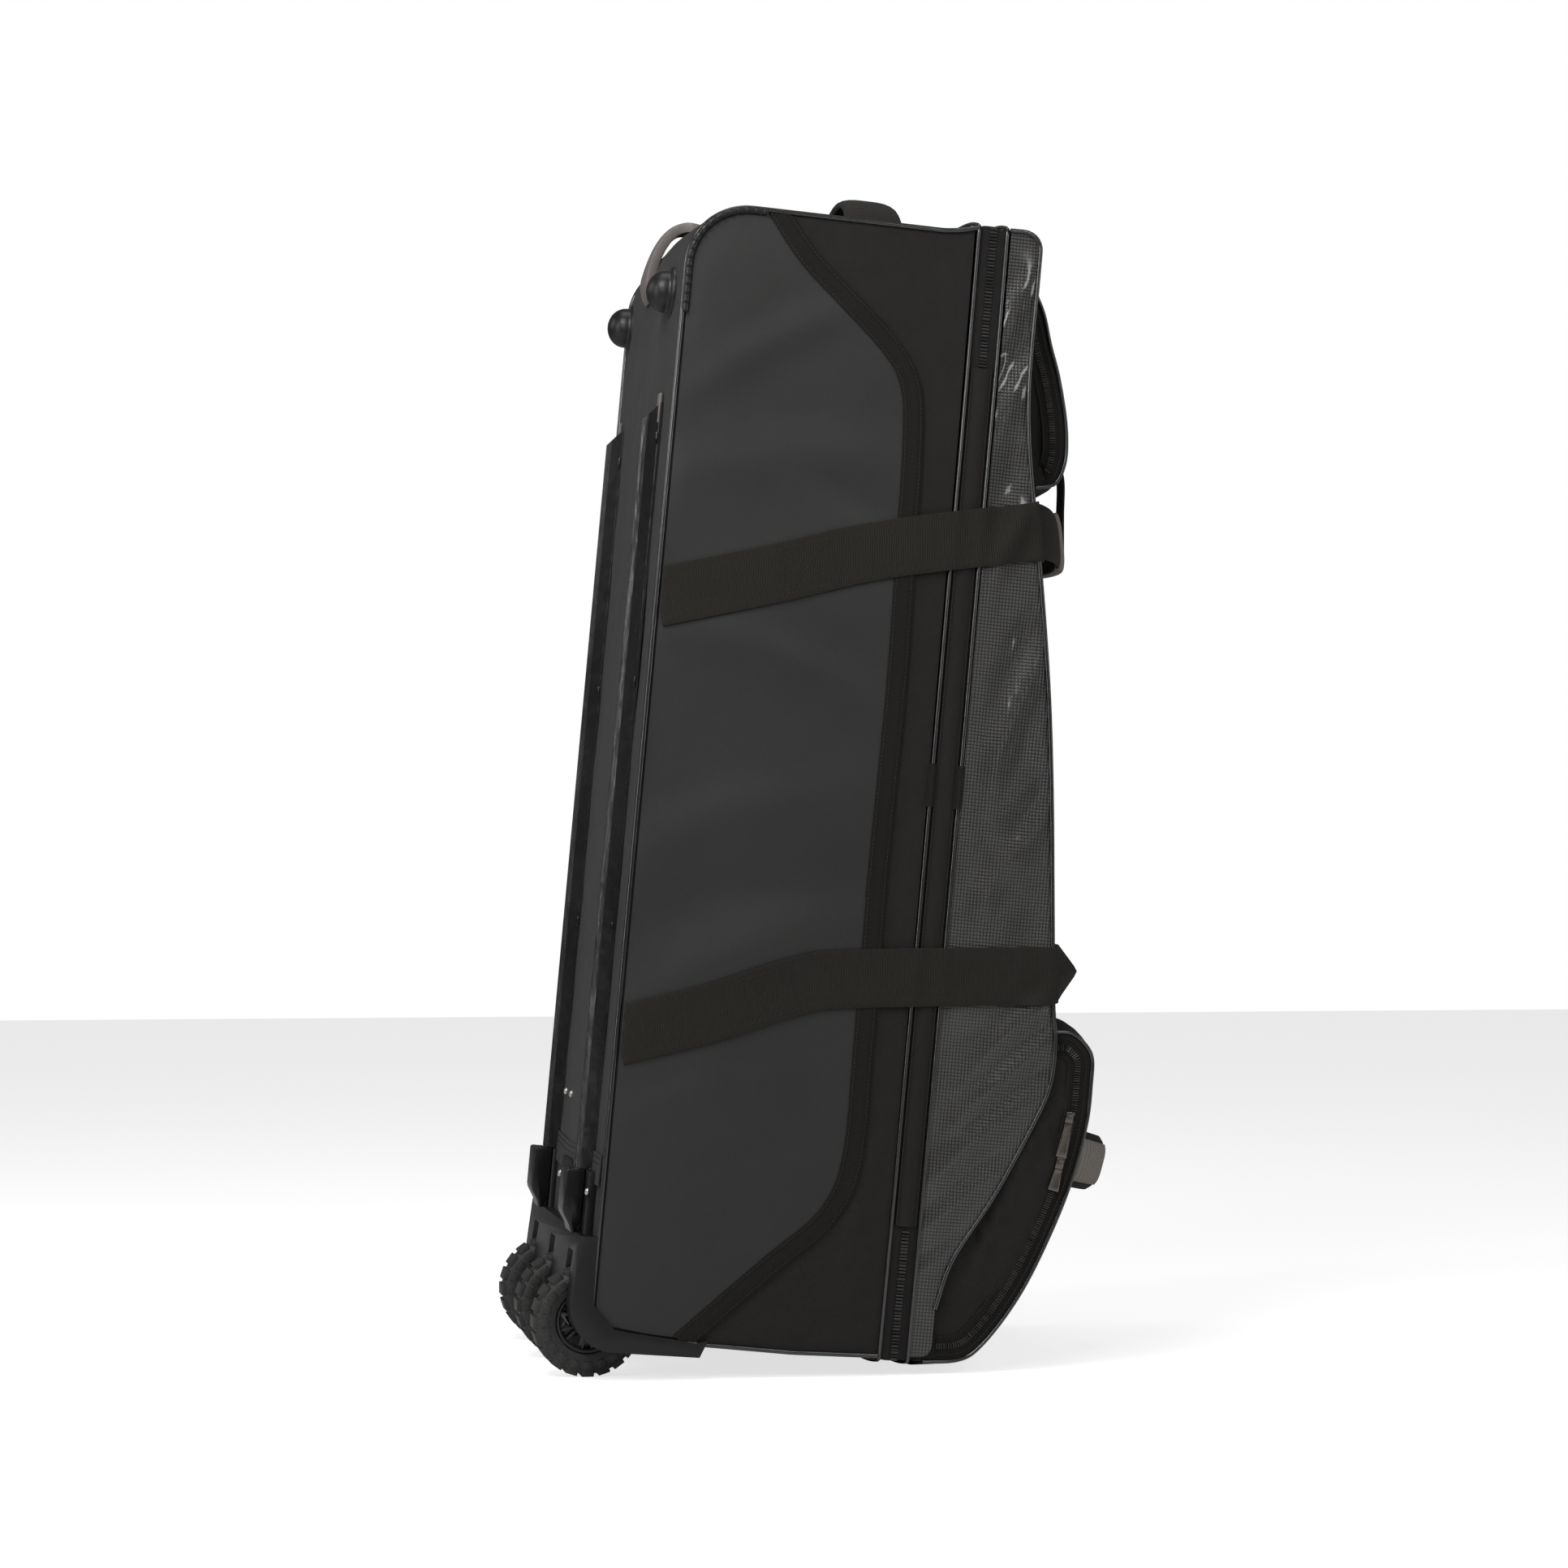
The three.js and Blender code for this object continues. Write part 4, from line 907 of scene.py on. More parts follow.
@dataclass(frozen=True)
class Finish:
    """One finish: its colour and gloss, how they vary, and its relief, with painted shade in the relief's
    hollows and painted highlight on its tops.
    """

    name: str
    colour: tuple[float, float, float]
    light: tuple[float, float, float]
    roughness: tuple[float, float]
    relief: Relief = Relief.GRAIN
    pitch: float = 0.001
    depth: float = 0.0002
    slant: float = 0.0
    fine: float = 900.0
    broad: float = 9.0
    metallic: float = 0.0
    specular: float = 0.5
    sheen: float = 0.0
    coat: float = 0.0
    mottle: float = 1.0
    # Painted shade and highlight: how much darker the relief's hollows and lighter its tops are painted.
    relief_tone: float = 0.0
    crumple: float = 0.0
    on_uv: bool = True

    @lru_cache(maxsize=None)
    def build(self) -> bpy.types.Material:
        """Wire the finish up.

        Returns:
            The material, built once and then shared.
        """
        material = bpy.data.materials.new(f"{self.name}_finish")
        material.use_nodes = True
        board = NodeBoard(material.node_tree)
        shader = material.node_tree.nodes["Principled BSDF"]
        place = board.add("ShaderNodeTexCoord")
        solid = place.outputs["Object"]
        spot = place.outputs["UV"] if self.on_uv else solid
        uneven = board.add("ShaderNodeGroup", node_tree=Effects.mottle())
        board.tree.links.new(solid, uneven.inputs["Vector"])
        uneven.inputs["Broad"].default_value = self.broad
        uneven.inputs["Fine"].default_value = self.fine
        height = self.relief_socket(board, spot, uneven)
        self.wire_colour(board, shader, uneven, height)
        self.wire_relief(board, shader, uneven, height, solid)
        for key, value in (("Metallic", self.metallic), ("Specular IOR Level", self.specular),
                           ("Sheen Weight", self.sheen), ("Sheen Roughness", 0.4),
                           ("Coat Weight", self.coat), ("Coat Roughness", 0.12)):
            shader.inputs[key].default_value = value
        return material

    def relief_socket(self, board: NodeBoard, spot: Socket,
                      uneven: Node) -> Socket:
        """The height of the relief as a socket.

        Args:
            board: The board to wire on.
            spot: Coordinates that the pattern follows.
            uneven: The unevenness group's node.

        Returns:
            A socket from 0 to 1.
        """
        groups = {Relief.WEAVE: Effects.weave, Relief.DOTS: Effects.dots, Relief.RIBS: Effects.ribs}
        if self.relief not in groups:
            return uneven.outputs["Fine"]
        node = board.add("ShaderNodeGroup", node_tree=groups[self.relief]())
        board.tree.links.new(spot, node.inputs["Vector"])
        node.inputs["Pitch"].default_value = self.pitch
        if self.relief is Relief.RIBS:
            node.inputs["Slant"].default_value = self.slant
        return node.outputs["Height"]

    def wire_colour(self, board: NodeBoard, shader: Node, uneven: Node,
                    height: Socket) -> None:
        """Colour and roughness vary with the unevenness; the relief paints shade into its hollows and
        highlight onto its tops.
        """
        tone = board.math("MULTIPLY_ADD", uneven.outputs["Fine"], 0.6, board.math(
            "MULTIPLY", uneven.outputs["Broad"], 0.4))
        tone = board.math("MULTIPLY_ADD", tone, self.mottle, 0.5 - 0.5 * self.mottle)
        # Painted shade in the relief's hollows and painted highlight on its tops.
        tone = board.math("MULTIPLY_ADD", board.math("SUBTRACT", height, 0.5), self.relief_tone, tone)
        share = board.add("ShaderNodeMapRange", {"Value": tone, "From Min": 0.3, "From Max": 0.7})
        mix = board.add("ShaderNodeMix", data_type="RGBA")
        board.tree.links.new(share.outputs[0], mix.inputs[0])
        mix.inputs[6].default_value = (*self.colour, 1)
        mix.inputs[7].default_value = (*self.light, 1)
        board.tree.links.new(mix.outputs[2], shader.inputs["Base Color"])
        rough = board.add("ShaderNodeMapRange", {
            "Value": uneven.outputs["Broad"], "From Min": 0.3, "From Max": 0.7,
            "To Min": self.roughness[0], "To Max": self.roughness[1]})
        board.tree.links.new(rough.outputs[0], shader.inputs["Roughness"])

    def wire_relief(self, board: NodeBoard, shader: Node, uneven: Node,
                    height: Socket, solid: Socket) -> None:
        """Bump from the relief, from fine grain and from small crumples."""
        if not self.depth:
            return
        total = board.math("MULTIPLY_ADD", uneven.outputs["Fine"], 0.25, height)
        bump = board.add("ShaderNodeBump", {"Height": total, "Distance": self.depth, "Strength": 1.0})
        if self.crumple:
            waves = board.add("ShaderNodeTexNoise", {"Vector": solid, "Scale": 38.0, "Detail": 2.0})
            first = board.add("ShaderNodeBump", {
                "Height": waves.outputs[0], "Distance": self.crumple, "Strength": 1.0})
            board.tree.links.new(first.outputs[0], bump.inputs["Normal"])
        board.tree.links.new(bump.outputs[0], shader.inputs["Normal"])


# Where a finish has a relief shade, its hollows are painted darker as shade and its tops lighter as
# highlight.
CLOTH = Finish("woven_cloth", (0.0070, 0.0060, 0.0053), (0.0152, 0.0130, 0.0116), (0.55, 0.72), Relief.WEAVE,
               pitch=0.0013, depth=0.00024, specular=0.3, sheen=0.05, relief_tone=0.3, crumple=0.0020)
BACK_CLOTH = Finish("back_cloth", (0.020, 0.0195, 0.019), (0.031, 0.030, 0.029), (0.5, 0.66), Relief.WEAVE,
                    pitch=0.0013, depth=0.00022, specular=0.32, sheen=0.05, relief_tone=0.3, crumple=0.0014)
COATED = Finish("coated_cloth", (0.0195, 0.0190, 0.0187), (0.029, 0.0282, 0.0278), (0.48, 0.54),
                depth=0.00007, fine=1400.0, broad=6.0, specular=0.42, crumple=0.0003)
TAPE = Finish("herringbone_tape", (0.007, 0.006, 0.005), (0.013, 0.0115, 0.0095), (0.7, 0.85), Relief.RIBS,
              pitch=0.0022, slant=1.0, depth=0.00028, specular=0.25, sheen=0.04, relief_tone=0.5)
WEBBING_FINISH = Finish("ribbed_webbing", (0.0105, 0.0088, 0.0066), (0.020, 0.0168, 0.0128), (0.66, 0.8),
                        Relief.RIBS, pitch=0.0021, slant=0.12, depth=0.0004, specular=0.3, sheen=0.05,
                        relief_tone=0.7)
# The dots' tops are painted near the pale colour and the gaps between them near the black one: painted
# highlight on the dots and painted shade in the gaps.
CARBON = Finish("carbon_vinyl", (0.0010, 0.0009, 0.0009), (0.070, 0.067, 0.062), (0.30, 0.36), Relief.DOTS,
                pitch=0.0029, depth=0.00030, specular=0.5, coat=0.7, mottle=0.6, relief_tone=0.78,
                crumple=0.0005)
GLOSS_TRIM = Finish("gloss_trim", (0.004, 0.004, 0.004), (0.007, 0.007, 0.007), (0.20, 0.26),
                    depth=0.0, specular=1.0, coat=0.5, on_uv=False)
RAIL_PLASTIC = Finish("rail_plastic", (0.009, 0.0088, 0.0092), (0.019, 0.0186, 0.0192), (0.2, 0.32),
                      depth=0.00006, specular=0.75, crumple=0.0020, on_uv=False)
CAP_SHEET = Finish("cap_sheet", (0.004, 0.004, 0.0042), (0.007, 0.007, 0.007), (0.24, 0.36),
                   depth=0.00004, specular=0.5, crumple=0.0012, on_uv=False)
MOULDED = Finish("moulded_tray", (0.0030, 0.0028, 0.0026), (0.0065, 0.0060, 0.0056), (0.36, 0.46),
                 depth=0.00010, fine=700.0, specular=0.5, on_uv=False)
GREY_HANDLE = Finish("grey_handle", (0.15, 0.135, 0.127), (0.21, 0.19, 0.178), (0.38, 0.5),
                     depth=0.0001, specular=0.4, on_uv=False)
FOOT_RUBBER = Finish("foot_rubber", (0.006, 0.006, 0.006), (0.011, 0.011, 0.011), (0.3, 0.4),
                     depth=0.0001, specular=0.45, on_uv=False)
TYRE = Finish("tyre_rubber", (0.024, 0.0233, 0.0225), (0.048, 0.0465, 0.045), (0.45, 0.6),
              depth=0.00025, fine=500.0, specular=0.4, on_uv=False)
RIM = Finish("rim_plastic", (0.012, 0.012, 0.012), (0.024, 0.024, 0.024), (0.26, 0.38),
             depth=0.0001, specular=0.5, on_uv=False)
STEEL = Finish("axle_steel", (0.45, 0.44, 0.42), (0.6, 0.59, 0.57), (0.25, 0.4),
               depth=0.00003, metallic=1.0, on_uv=False)
GUNMETAL = Finish("pull_metal", (0.13, 0.113, 0.10), (0.24, 0.212, 0.19), (0.2, 0.3),
                  depth=0.00004, metallic=1.0, on_uv=False)
ZIP_TEETH = Finish("zip_teeth", (0.012, 0.0115, 0.011), (0.022, 0.021, 0.020), (0.34, 0.42),
                   depth=0.0, specular=0.6, on_uv=False)
THREAD = Finish("thread", (0.016, 0.0145, 0.0125), (0.036, 0.033, 0.028), (0.5, 0.7),
                depth=0.00005, specular=0.3, on_uv=False)
GRIP = Finish("grip_pad", (0.19, 0.170, 0.150), (0.29, 0.262, 0.232), (0.5, 0.62), Relief.RIBS,
              pitch=0.0034, depth=0.0004, specular=0.35, relief_tone=0.4)


def dress(obj: Piece, finish: Finish, slot: str, body: str = "bag", *nodes: str,
          smooth: float = 40.0) -> Piece:
    """Give a piece its finish and its body, and hide the nodes that it stands for.

    Args:
        obj: The piece.
        finish: Its finish.
        slot: Not used.
        body: The body that it rides on.
        nodes: Frame nodes that it replaces.
        smooth: Edges flatter than this angle are shaded smooth.

    Returns:
        The piece.
    """
    obj.data.materials.clear()
    obj.data.materials.append(finish.build())
    take(obj)
    bpy.ops.object.shade_smooth_by_angle(angle=math.radians(smooth))
    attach(obj, body)
    if nodes:
        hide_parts(*nodes)
    return obj


def both(obj: Piece, stem: str, finish: Finish, slot: str, *stems: str,
         smooth: float = 40.0) -> None:
    """Dress a left piece and its mirror copy; stems name the nodes that they replace."""
    obj.name = f"{stem}_left"
    right = mirrored(obj, f"{stem}_right")
    for piece, side in ((obj, Side.LEFT), (right, Side.RIGHT)):
        dress(piece, finish, slot, "bag", *[f"{name}_{side.word}" for name in stems], smooth=smooth)


def on_side(u: Array, v: Array, lift: Array | float) -> Array:
    """Points at a height above the bag's left side, as x, u and v."""
    return np.column_stack([-(side_lift(u, v) + lift), u, v])


def back_swell(x: Array | float) -> Array | float:
    """How far the tub's back swells at a place across it."""
    return BACK_BULGE * (1 - abs(x / HALF_WIDTH) ** 4)


LEFT_OUT = (-1.0, 0.0, 0.0)
BACK_OUT = (0.0, -1.0, 0.0)
UP = (0.0, 0.0, 1.0)
STITCH = (0.0026, 0.0006, 0.0005)
STITCH_PITCH = 0.0036
CLOTH_WALL = 0.0025
TAPE_WALL = 0.0012


def stitches(name: str, lines: Sequence[Array], out: Sequence[float] = LEFT_OUT) -> Piece:
    """A row of stitches along each line in (x, u, v)."""
    places = [place for line in lines for place in line_frames(line, STITCH_PITCH, out)]
    return repeated(name, small_box(STITCH), places)


def sew(stem: str, lines: Sequence[Array], slot: str) -> None:
    """Rows of stitches on the left side and their mirror copy on the right."""
    both(stitches(stem, lines), stem, THREAD, slot)


def tub_span() -> tuple[float, float]:
    """Where the tub's outline starts and ends: over the top, down the back and under the bottom."""
    start = BODY.place_of(TUB_DEPTH, LENGTH + TOP_RISE)
    return start, BODY.place_of(TUB_DEPTH, -END_BULGE) + BODY.length


# Sub-assemblies

BAND_COLUMNS = 56


@dataclass
class TubShell:
    """The back half of the body: a band round the back, top and bottom, and two side walls."""

    step: float = 0.007
    side_step: float = 0.009
    seam_low: float = 0.120
    seam_high: float = 0.146
    seam_half: float = 0.178

    def build(self) -> None:
        """Build and dress the band and the side walls."""
        start, end = tub_span()
        reach = end - start

        def place(a: Array, b: Array) -> Array:
            t, s = 2 * a - 1, start + b * reach
            rough = 0.0016 * soft_noise(a * 0.37, b * reach, 0.07, 1.7)
            top = np.clip(1 - b * reach / 0.12, 0, 1) ** 2
            return BODY.band(t, s, (rough + ZipGusset.top_rise * top) * (1 - np.abs(t) ** 6))

        count = int(reach / self.step)
        band = grid_sheet("tub_band", BAND_COLUMNS, count, place, (2 * HALF_WIDTH, reach), (0.0, 0.12, 0.5))
        thicken(band, CLOTH_WALL)
        dress(band, BACK_CLOTH, "woven_cloth", "bag", "tub")
        rear = BODY.line[BODY.line[:, 0] <= TUB_DEPTH, :2]
        side = outline_sheet("tub_side", rear, self.side_step, side_lift)
        thicken(side, CLOTH_WALL)
        both(side, "tub_side", CLOTH, "woven_cloth")
        self.build_back_seam()

    def build_back_seam(self) -> None:
        """The lower pocket edge across the back, a strip of cloth with two rows of stitches."""
        height = self.seam_high - self.seam_low

        def wave(x: Array) -> Array:
            return 0.002 * np.sin((x / self.seam_half + 1) / 2 * 9)

        def place(a: Array, b: Array) -> Array:
            x = (2 * a - 1) * self.seam_half
            lift = 0.0006 + 0.0008 * (1 - b)
            return np.column_stack([x, -back_swell(x) - lift, self.seam_low + b * height + wave(x)])

        size = (2 * self.seam_half, height)
        strip = grid_sheet("back_seam", 50, 4, place, size, (0.0, 0.12, 0.13))
        thicken(strip, TAPE_WALL, 1.0)
        dress(strip, BACK_CLOTH, "woven_cloth")
        x = np.linspace(-0.174, 0.174, 60)
        rows = [np.column_stack([x, -back_swell(x) - 0.0022, self.seam_high - drop + wave(x)])
                for drop in (0.003, 0.008)]
        dress(stitches("back_seam_stitches", rows, BACK_OUT), THREAD, "woven_cloth")


@dataclass
class ZipGusset:
    """The band between tub and lid, with its coil zip, its flaps and its pipings."""

    inset: float = 0.0012
    flap_low: float = 0.107
    flap_high: float = 0.845
    piping: float = 0.0017
    top_rise: float = 0.003
    columns: int = 6

    def ring(self, u: float, lift: float) -> Array:
        """A closed line round the body at one depth, as x, u and v."""
        high = LENGTH + TOP_RISE
        v = np.linspace(-END_BULGE, high, 180)
        x = side_lift(np.full_like(v, u), v) + lift
        t = np.linspace(-1, 1, 70)[1:-1]
        swell = END_BULGE * (1 - np.abs(t) ** 4) + lift
        hump = self.top_rise * (1 - np.abs(t) ** 6)
        left = np.column_stack([-x, np.full_like(v, u), v])
        top = np.column_stack([t * HALF_WIDTH, np.full_like(t, u), high + swell + hump])
        right = np.column_stack([x, np.full_like(v, u), v])[::-1]
        low = np.column_stack([t * HALF_WIDTH, np.full_like(t, u), -END_BULGE - swell])[::-1]
        return np.vstack([left, top, right, low])

    def build(self) -> None:
        """Build the band, its zip, its flaps and its pipings."""
        rings = [self.ring(u, -self.inset) for u in np.linspace(TUB_DEPTH, LID_START, self.columns + 1)]
        count = len(rings[0])
        table = np.array([np.vstack([ring, ring[:1]]) for ring in rings])

        def place(a: Array, b: Array) -> Array:
            return table[np.rint(a * self.columns).astype(int), np.rint(b * count).astype(int)]

        band = grid_sheet("gusset_band", self.columns, count, place, (GUSSET, 2.7))
        with Editing(band):
            bpy.ops.mesh.remove_doubles(threshold=1e-6)
        face_away(band, (0.0, 0.262, 0.48))
        thicken(band, 0.002)
        dress(band, CLOTH, "woven_cloth", "bag", "zip_gusset")
        self.build_zip()
        self.build_flaps()
        for name, u in (("gusset_piping_back", TUB_DEPTH), ("gusset_piping_front", LID_START)):
            cord = tube(f"{name}_cord", self.ring(u, 0.0010), self.piping, closed=True)
            dress(cord, GLOSS_TRIM, "gloss_trim", "bag", name, smooth=180)

    def build_zip(self) -> None:
        """Coil teeth all round, but for what the side flaps cover."""
        ring = self.ring(TUB_DEPTH + GUSSET * 0.52, -0.0004)
        hidden = (np.abs(ring[:, 0]) > 0.180) & (ring[:, 2] > self.flap_low) & (ring[:, 2] < self.flap_high)
        pieces, run = [], []
        for point, covered in zip(np.vstack([ring, ring[:1]]), np.append(hidden, hidden[0])):
            if covered:
                if len(run) > 2:
                    pieces.append(np.array(run))
                run = []
            else:
                run.append(point)
        if len(run) > 2:
            pieces.append(np.array(run))
        middle = np.array([0.0, TUB_DEPTH, 0.48])
        places: list[Matrix] = []
        for line in pieces:
            out = np.where(np.abs(line[:, :1]) > 0.1845, [[1, 0, 0]], [[0, 0, 1]]) * np.sign(line - middle)
            places += line_frames(line, 0.0029, out)
        teeth = repeated("zip_teeth_main", small_rod(0.0011, 0.0062), places)
        dress(teeth, ZIP_TEETH, "woven_cloth", smooth=60)

    def build_flaps(self) -> None:
        """A cloth flap over the zip on each side, stitched along its edge, and two cord sleeves."""
        height = self.flap_high - self.flap_low

        def place(a: Array, b: Array) -> Array:
            u = TUB_DEPTH + 0.0035 + a * (GUSSET - 0.007)
            v = self.flap_low + b * height
            return on_side(u, v, 0.0004 + 0.0016 * np.sin(np.pi * a))

        flap = grid_sheet("zip_flap", self.columns, 120, place, (GUSSET, height), (0.0, 0.262, 0.48))
        thicken(flap, TAPE_WALL)
        both(flap, "zip_flap", CLOTH, "woven_cloth")
        v = np.linspace(self.flap_low + 0.003, self.flap_high - 0.003, 200)
        rows = [on_side(np.full_like(v, TUB_DEPTH + GUSSET * share), v, 0.0019) for share in (0.16, 0.84)]
        sew("zip_flap_stitches", rows, "woven_cloth")
        sleeves = []
        for u in (TUB_DEPTH, LID_START):
            line = spaced(np.array([(u, 0.466), (u, 0.503)]), 0.003)
            sleeves.append(tube("sleeve", on_side(line[:, 0], line[:, 1], 0.0008), 0.0034))
        both(joined("piping_sleeve", sleeves), "piping_sleeve", CLOTH, "woven_cloth")


@dataclass
class LidShell:
    """The front half: embossed vinyl sides, a cloth front band and the cord between them."""

    step: float = 0.008
    side_step: float = 0.006

    def build(self) -> None:
        """Build and dress the lid."""
        start = BODY.place_of(LID_START, -END_BULGE)
        end = BODY.place_of(LID_START, LENGTH + TOP_RISE)
        reach = end - start

        def place(a: Array, b: Array) -> Array:
            t, s = 2 * a - 1, start + b * reach
            rough = 0.0022 * soft_noise(a * 0.37, b * reach, 0.09, 5.2)
            top = np.clip(1 - (1 - b) * reach / 0.09, 0, 1)
            return BODY.band(t, s, (rough + ZipGusset.top_rise * top) * (1 - np.abs(t) ** 6))

        count = int(reach / self.step)
        front = grid_sheet("lid_front", BAND_COLUMNS, count, place, (2 * HALF_WIDTH, reach), (0.0, 0.29, 0.5))
        thicken(front, CLOTH_WALL)
        dress(front, CLOTH, "woven_cloth", "bag", "lid")
        fore = BODY.line[BODY.line[:, 0] >= LID_START, :2]
        side = outline_sheet("lid_side", fore, self.side_step, side_lift)
        thicken(side, CLOTH_WALL)
        both(side, "lid_side", CARBON, "carbon_vinyl")
        low = BODY.place_of(*lid_line()[-1, :2])
        edge = BODY.edge(np.linspace(low, end - 0.003, 260))[0][:, :2]
        cord = tube("front_cord", np.column_stack([np.full(len(edge), -HALF_WIDTH - 0.0010), edge]), 0.0019)
        both(cord, "front_cord", GLOSS_TRIM, "gloss_trim", "front_piping", smooth=180)


@dataclass
class Pocket:
    """A bellows pocket on the lid: a front that wraps round it, two sides, a zip and its piping."""

    name: str
    outline: Array
    half_width: float
    side_bulge: float
    bulge: float
    zip_inset: float
    front_count: int
    floor: float | None = None

    def build(self) -> Form:
        """Build and dress the pocket.

        Returns:
            Its form, for what lies on it.
        """
        line = through(self.outline, 8)
        count = len(line)
        face = np.column_stack([line, np.full(count, self.bulge)])
        back = np.array([(LID_START + 0.004, line[-1, 1], 0.0), (LID_START + 0.004, line[0, 1], 0.0)])
        ring = np.vstack([face, back])[::-1]
        middle = (float(line[:, 0].mean()) - 0.035, float((line[0, 1] + line[-1, 1]) / 2))
        form = Form(ring, self.half_width, self.side_bulge, middle)
        start = form.place_of(*line[-1])
        end = form.place_of(*line[0])
        reach = end - start

        def place(a: Array, b: Array) -> Array:
            t, s = 2 * a - 1, start + b * reach
            rough = 0.0022 * soft_noise(a * 0.36, b * reach, 0.07, 6.3) * (1 - np.abs(t) ** 8)
            return self.rest(form.band(t, s, rough))

        front = grid_sheet(f"{self.name}_front", BAND_COLUMNS, self.front_count, place,
                           (2 * self.half_width, reach), (0.0, 0.29, middle[1]))
        thicken(front, CLOTH_WALL)
        dress(front, CLOTH, "woven_cloth", "bag", self.name)

        def lift(u: Array, v: Array) -> Array:
            rough = 0.0050 * soft_noise(u, v * 0.6, 0.045, 4.4)
            rough = rough + sum(pleat.lift(u, v) for pleat in POCKET_PLEATS)
            return form.side(u, v) + rough * np.clip((0.76 - form.reach(u, v)) / 0.14, 0, 1)

        side = outline_sheet(f"{self.name}_side", form.line[:-1, :2], 0.008, lift)
        if self.floor is not None:
            points = read(side)
            points[:, 2] = np.maximum(points[:, 2], self.floor)
            write(side, points)
        thicken(side, CLOTH_WALL)
        both(side, f"{self.name}_side", CLOTH, "woven_cloth")
        edge, _ = form.edge(np.linspace(start, end, 160))
        for side_of in Side:
            x = np.full(len(edge), side_of.value * (self.half_width + 0.0005))
            line = self.rest(np.column_stack([x, edge[:, :2]]))
            cord = tube(f"{self.name}_cord_{side_of.word}", line, 0.0018)
            dress(cord, GLOSS_TRIM, "gloss_trim", smooth=180)
        self.build_zip(form, start, end)
        return form

    def rest(self, points: Array) -> Array:
        """Flatten what would lie below the floor."""
        if self.floor is None:
            return points
        z = AXES.row(points)[:, 2]
        raise_by = np.maximum(self.floor - z, 0) / math.cos(LEAN)
        return points + np.column_stack([np.zeros_like(z), np.zeros_like(z), raise_by])

    def build_zip(self, form: Form, start: float, end: float) -> None:
        """The zip: two tapes' edges with stitches, and the coil, round the side and across the top."""
        s = np.linspace(start + 0.012, end - 0.004, 220)
        edge, out = form.edge(s)
        line = edge[:, :2] - out * self.zip_inset
        x = form.side(line[:, 0], line[:, 1])
        tape = np.column_stack([-(x + 0.0006), line])

        def place(a: Array, b: Array) -> Array:
            index = b * (len(s) - 1)
            u, v = (between(index, line) + ((a - 0.5) * ZIP_TAPE)[:, None] * between(index, out)).T
            return np.column_stack([-(form.side(u, v) + 0.0009), u, v])

        size = (ZIP_TAPE, end - start)
        ribbon = grid_sheet(f"{self.name}_zip_tape", 4, 120, place, size, (0.0, 0.29, 0.4))
        thicken(ribbon, 0.0008)
        both(ribbon, f"{self.name}_zip_tape", TAPE, "woven_cloth")
        places = line_frames(tape + np.array([-0.0011, 0, 0]), 0.0021, LEFT_OUT)
        teeth = repeated(f"{self.name}_zip", small_rod(0.0007, 0.0052), places)
        both(teeth, f"{self.name}_zip", ZIP_TEETH, "woven_cloth", smooth=60)
        rows = [np.column_stack([tape[:, 0] - 0.0008, line + out * gap]) for gap in (-0.0078, 0.0078)]
        sew(f"{self.name}_stitches", rows, "woven_cloth")


ZIP_TAPE = 0.018
TOP_POCKET_EDGE = np.array([
    (0.1, 1.0), (0.34, 0.88), (0.52, 0.73), (0.74, 0.57), (0.94, 0.37), (1.02, 0.22), (1.0, 0.12),
    (0.86, 0.03), (0.5, 0.0)])
BOTTOM_POCKET_EDGE = np.array([
    (0.7, 1.0), (0.84, 1.0), (0.94, 0.969), (0.992, 0.931), (1.0, 0.863), (0.99, 0.73), (0.9, 0.53),
    (0.73, 0.313), (0.57, 0.168), (0.38, 0.05), (0.24, 0.012), (0.0, 0.0)])

POCKET_PLEATS = (
    Fold(0.352, 0.150, 68, 0.11, 0.007, 0.0046),
    Fold(0.334, 0.120, 62, 0.09, 0.007, -0.0032),
    Fold(0.372, 0.100, 58, 0.07, 0.008, 0.0034),
    Fold(0.330, 0.850, 84, 0.07, 0.006, 0.0026),
)


def top_pocket() -> Pocket:
    """The wedge pocket near the top of the lid."""
    edge = TOP_POCKET_EDGE * (0.045, 0.172) + (LID_START + LID_DEPTH * 0.29, 0.752)
    return Pocket("top_pocket", edge, 0.150, 0.003, 0.007, 0.013, 30)


def bottom_pocket() -> Pocket:
    """The deep pocket at the foot of the lid, flat where it stands on the floor."""
    edge = BOTTOM_POCKET_EDGE * (0.128, 0.291) + (0.288, -0.008)
    return Pocket("bottom_pocket", edge, 0.178, 0.004, 0.012, 0.0135, 60, floor=0.0006)


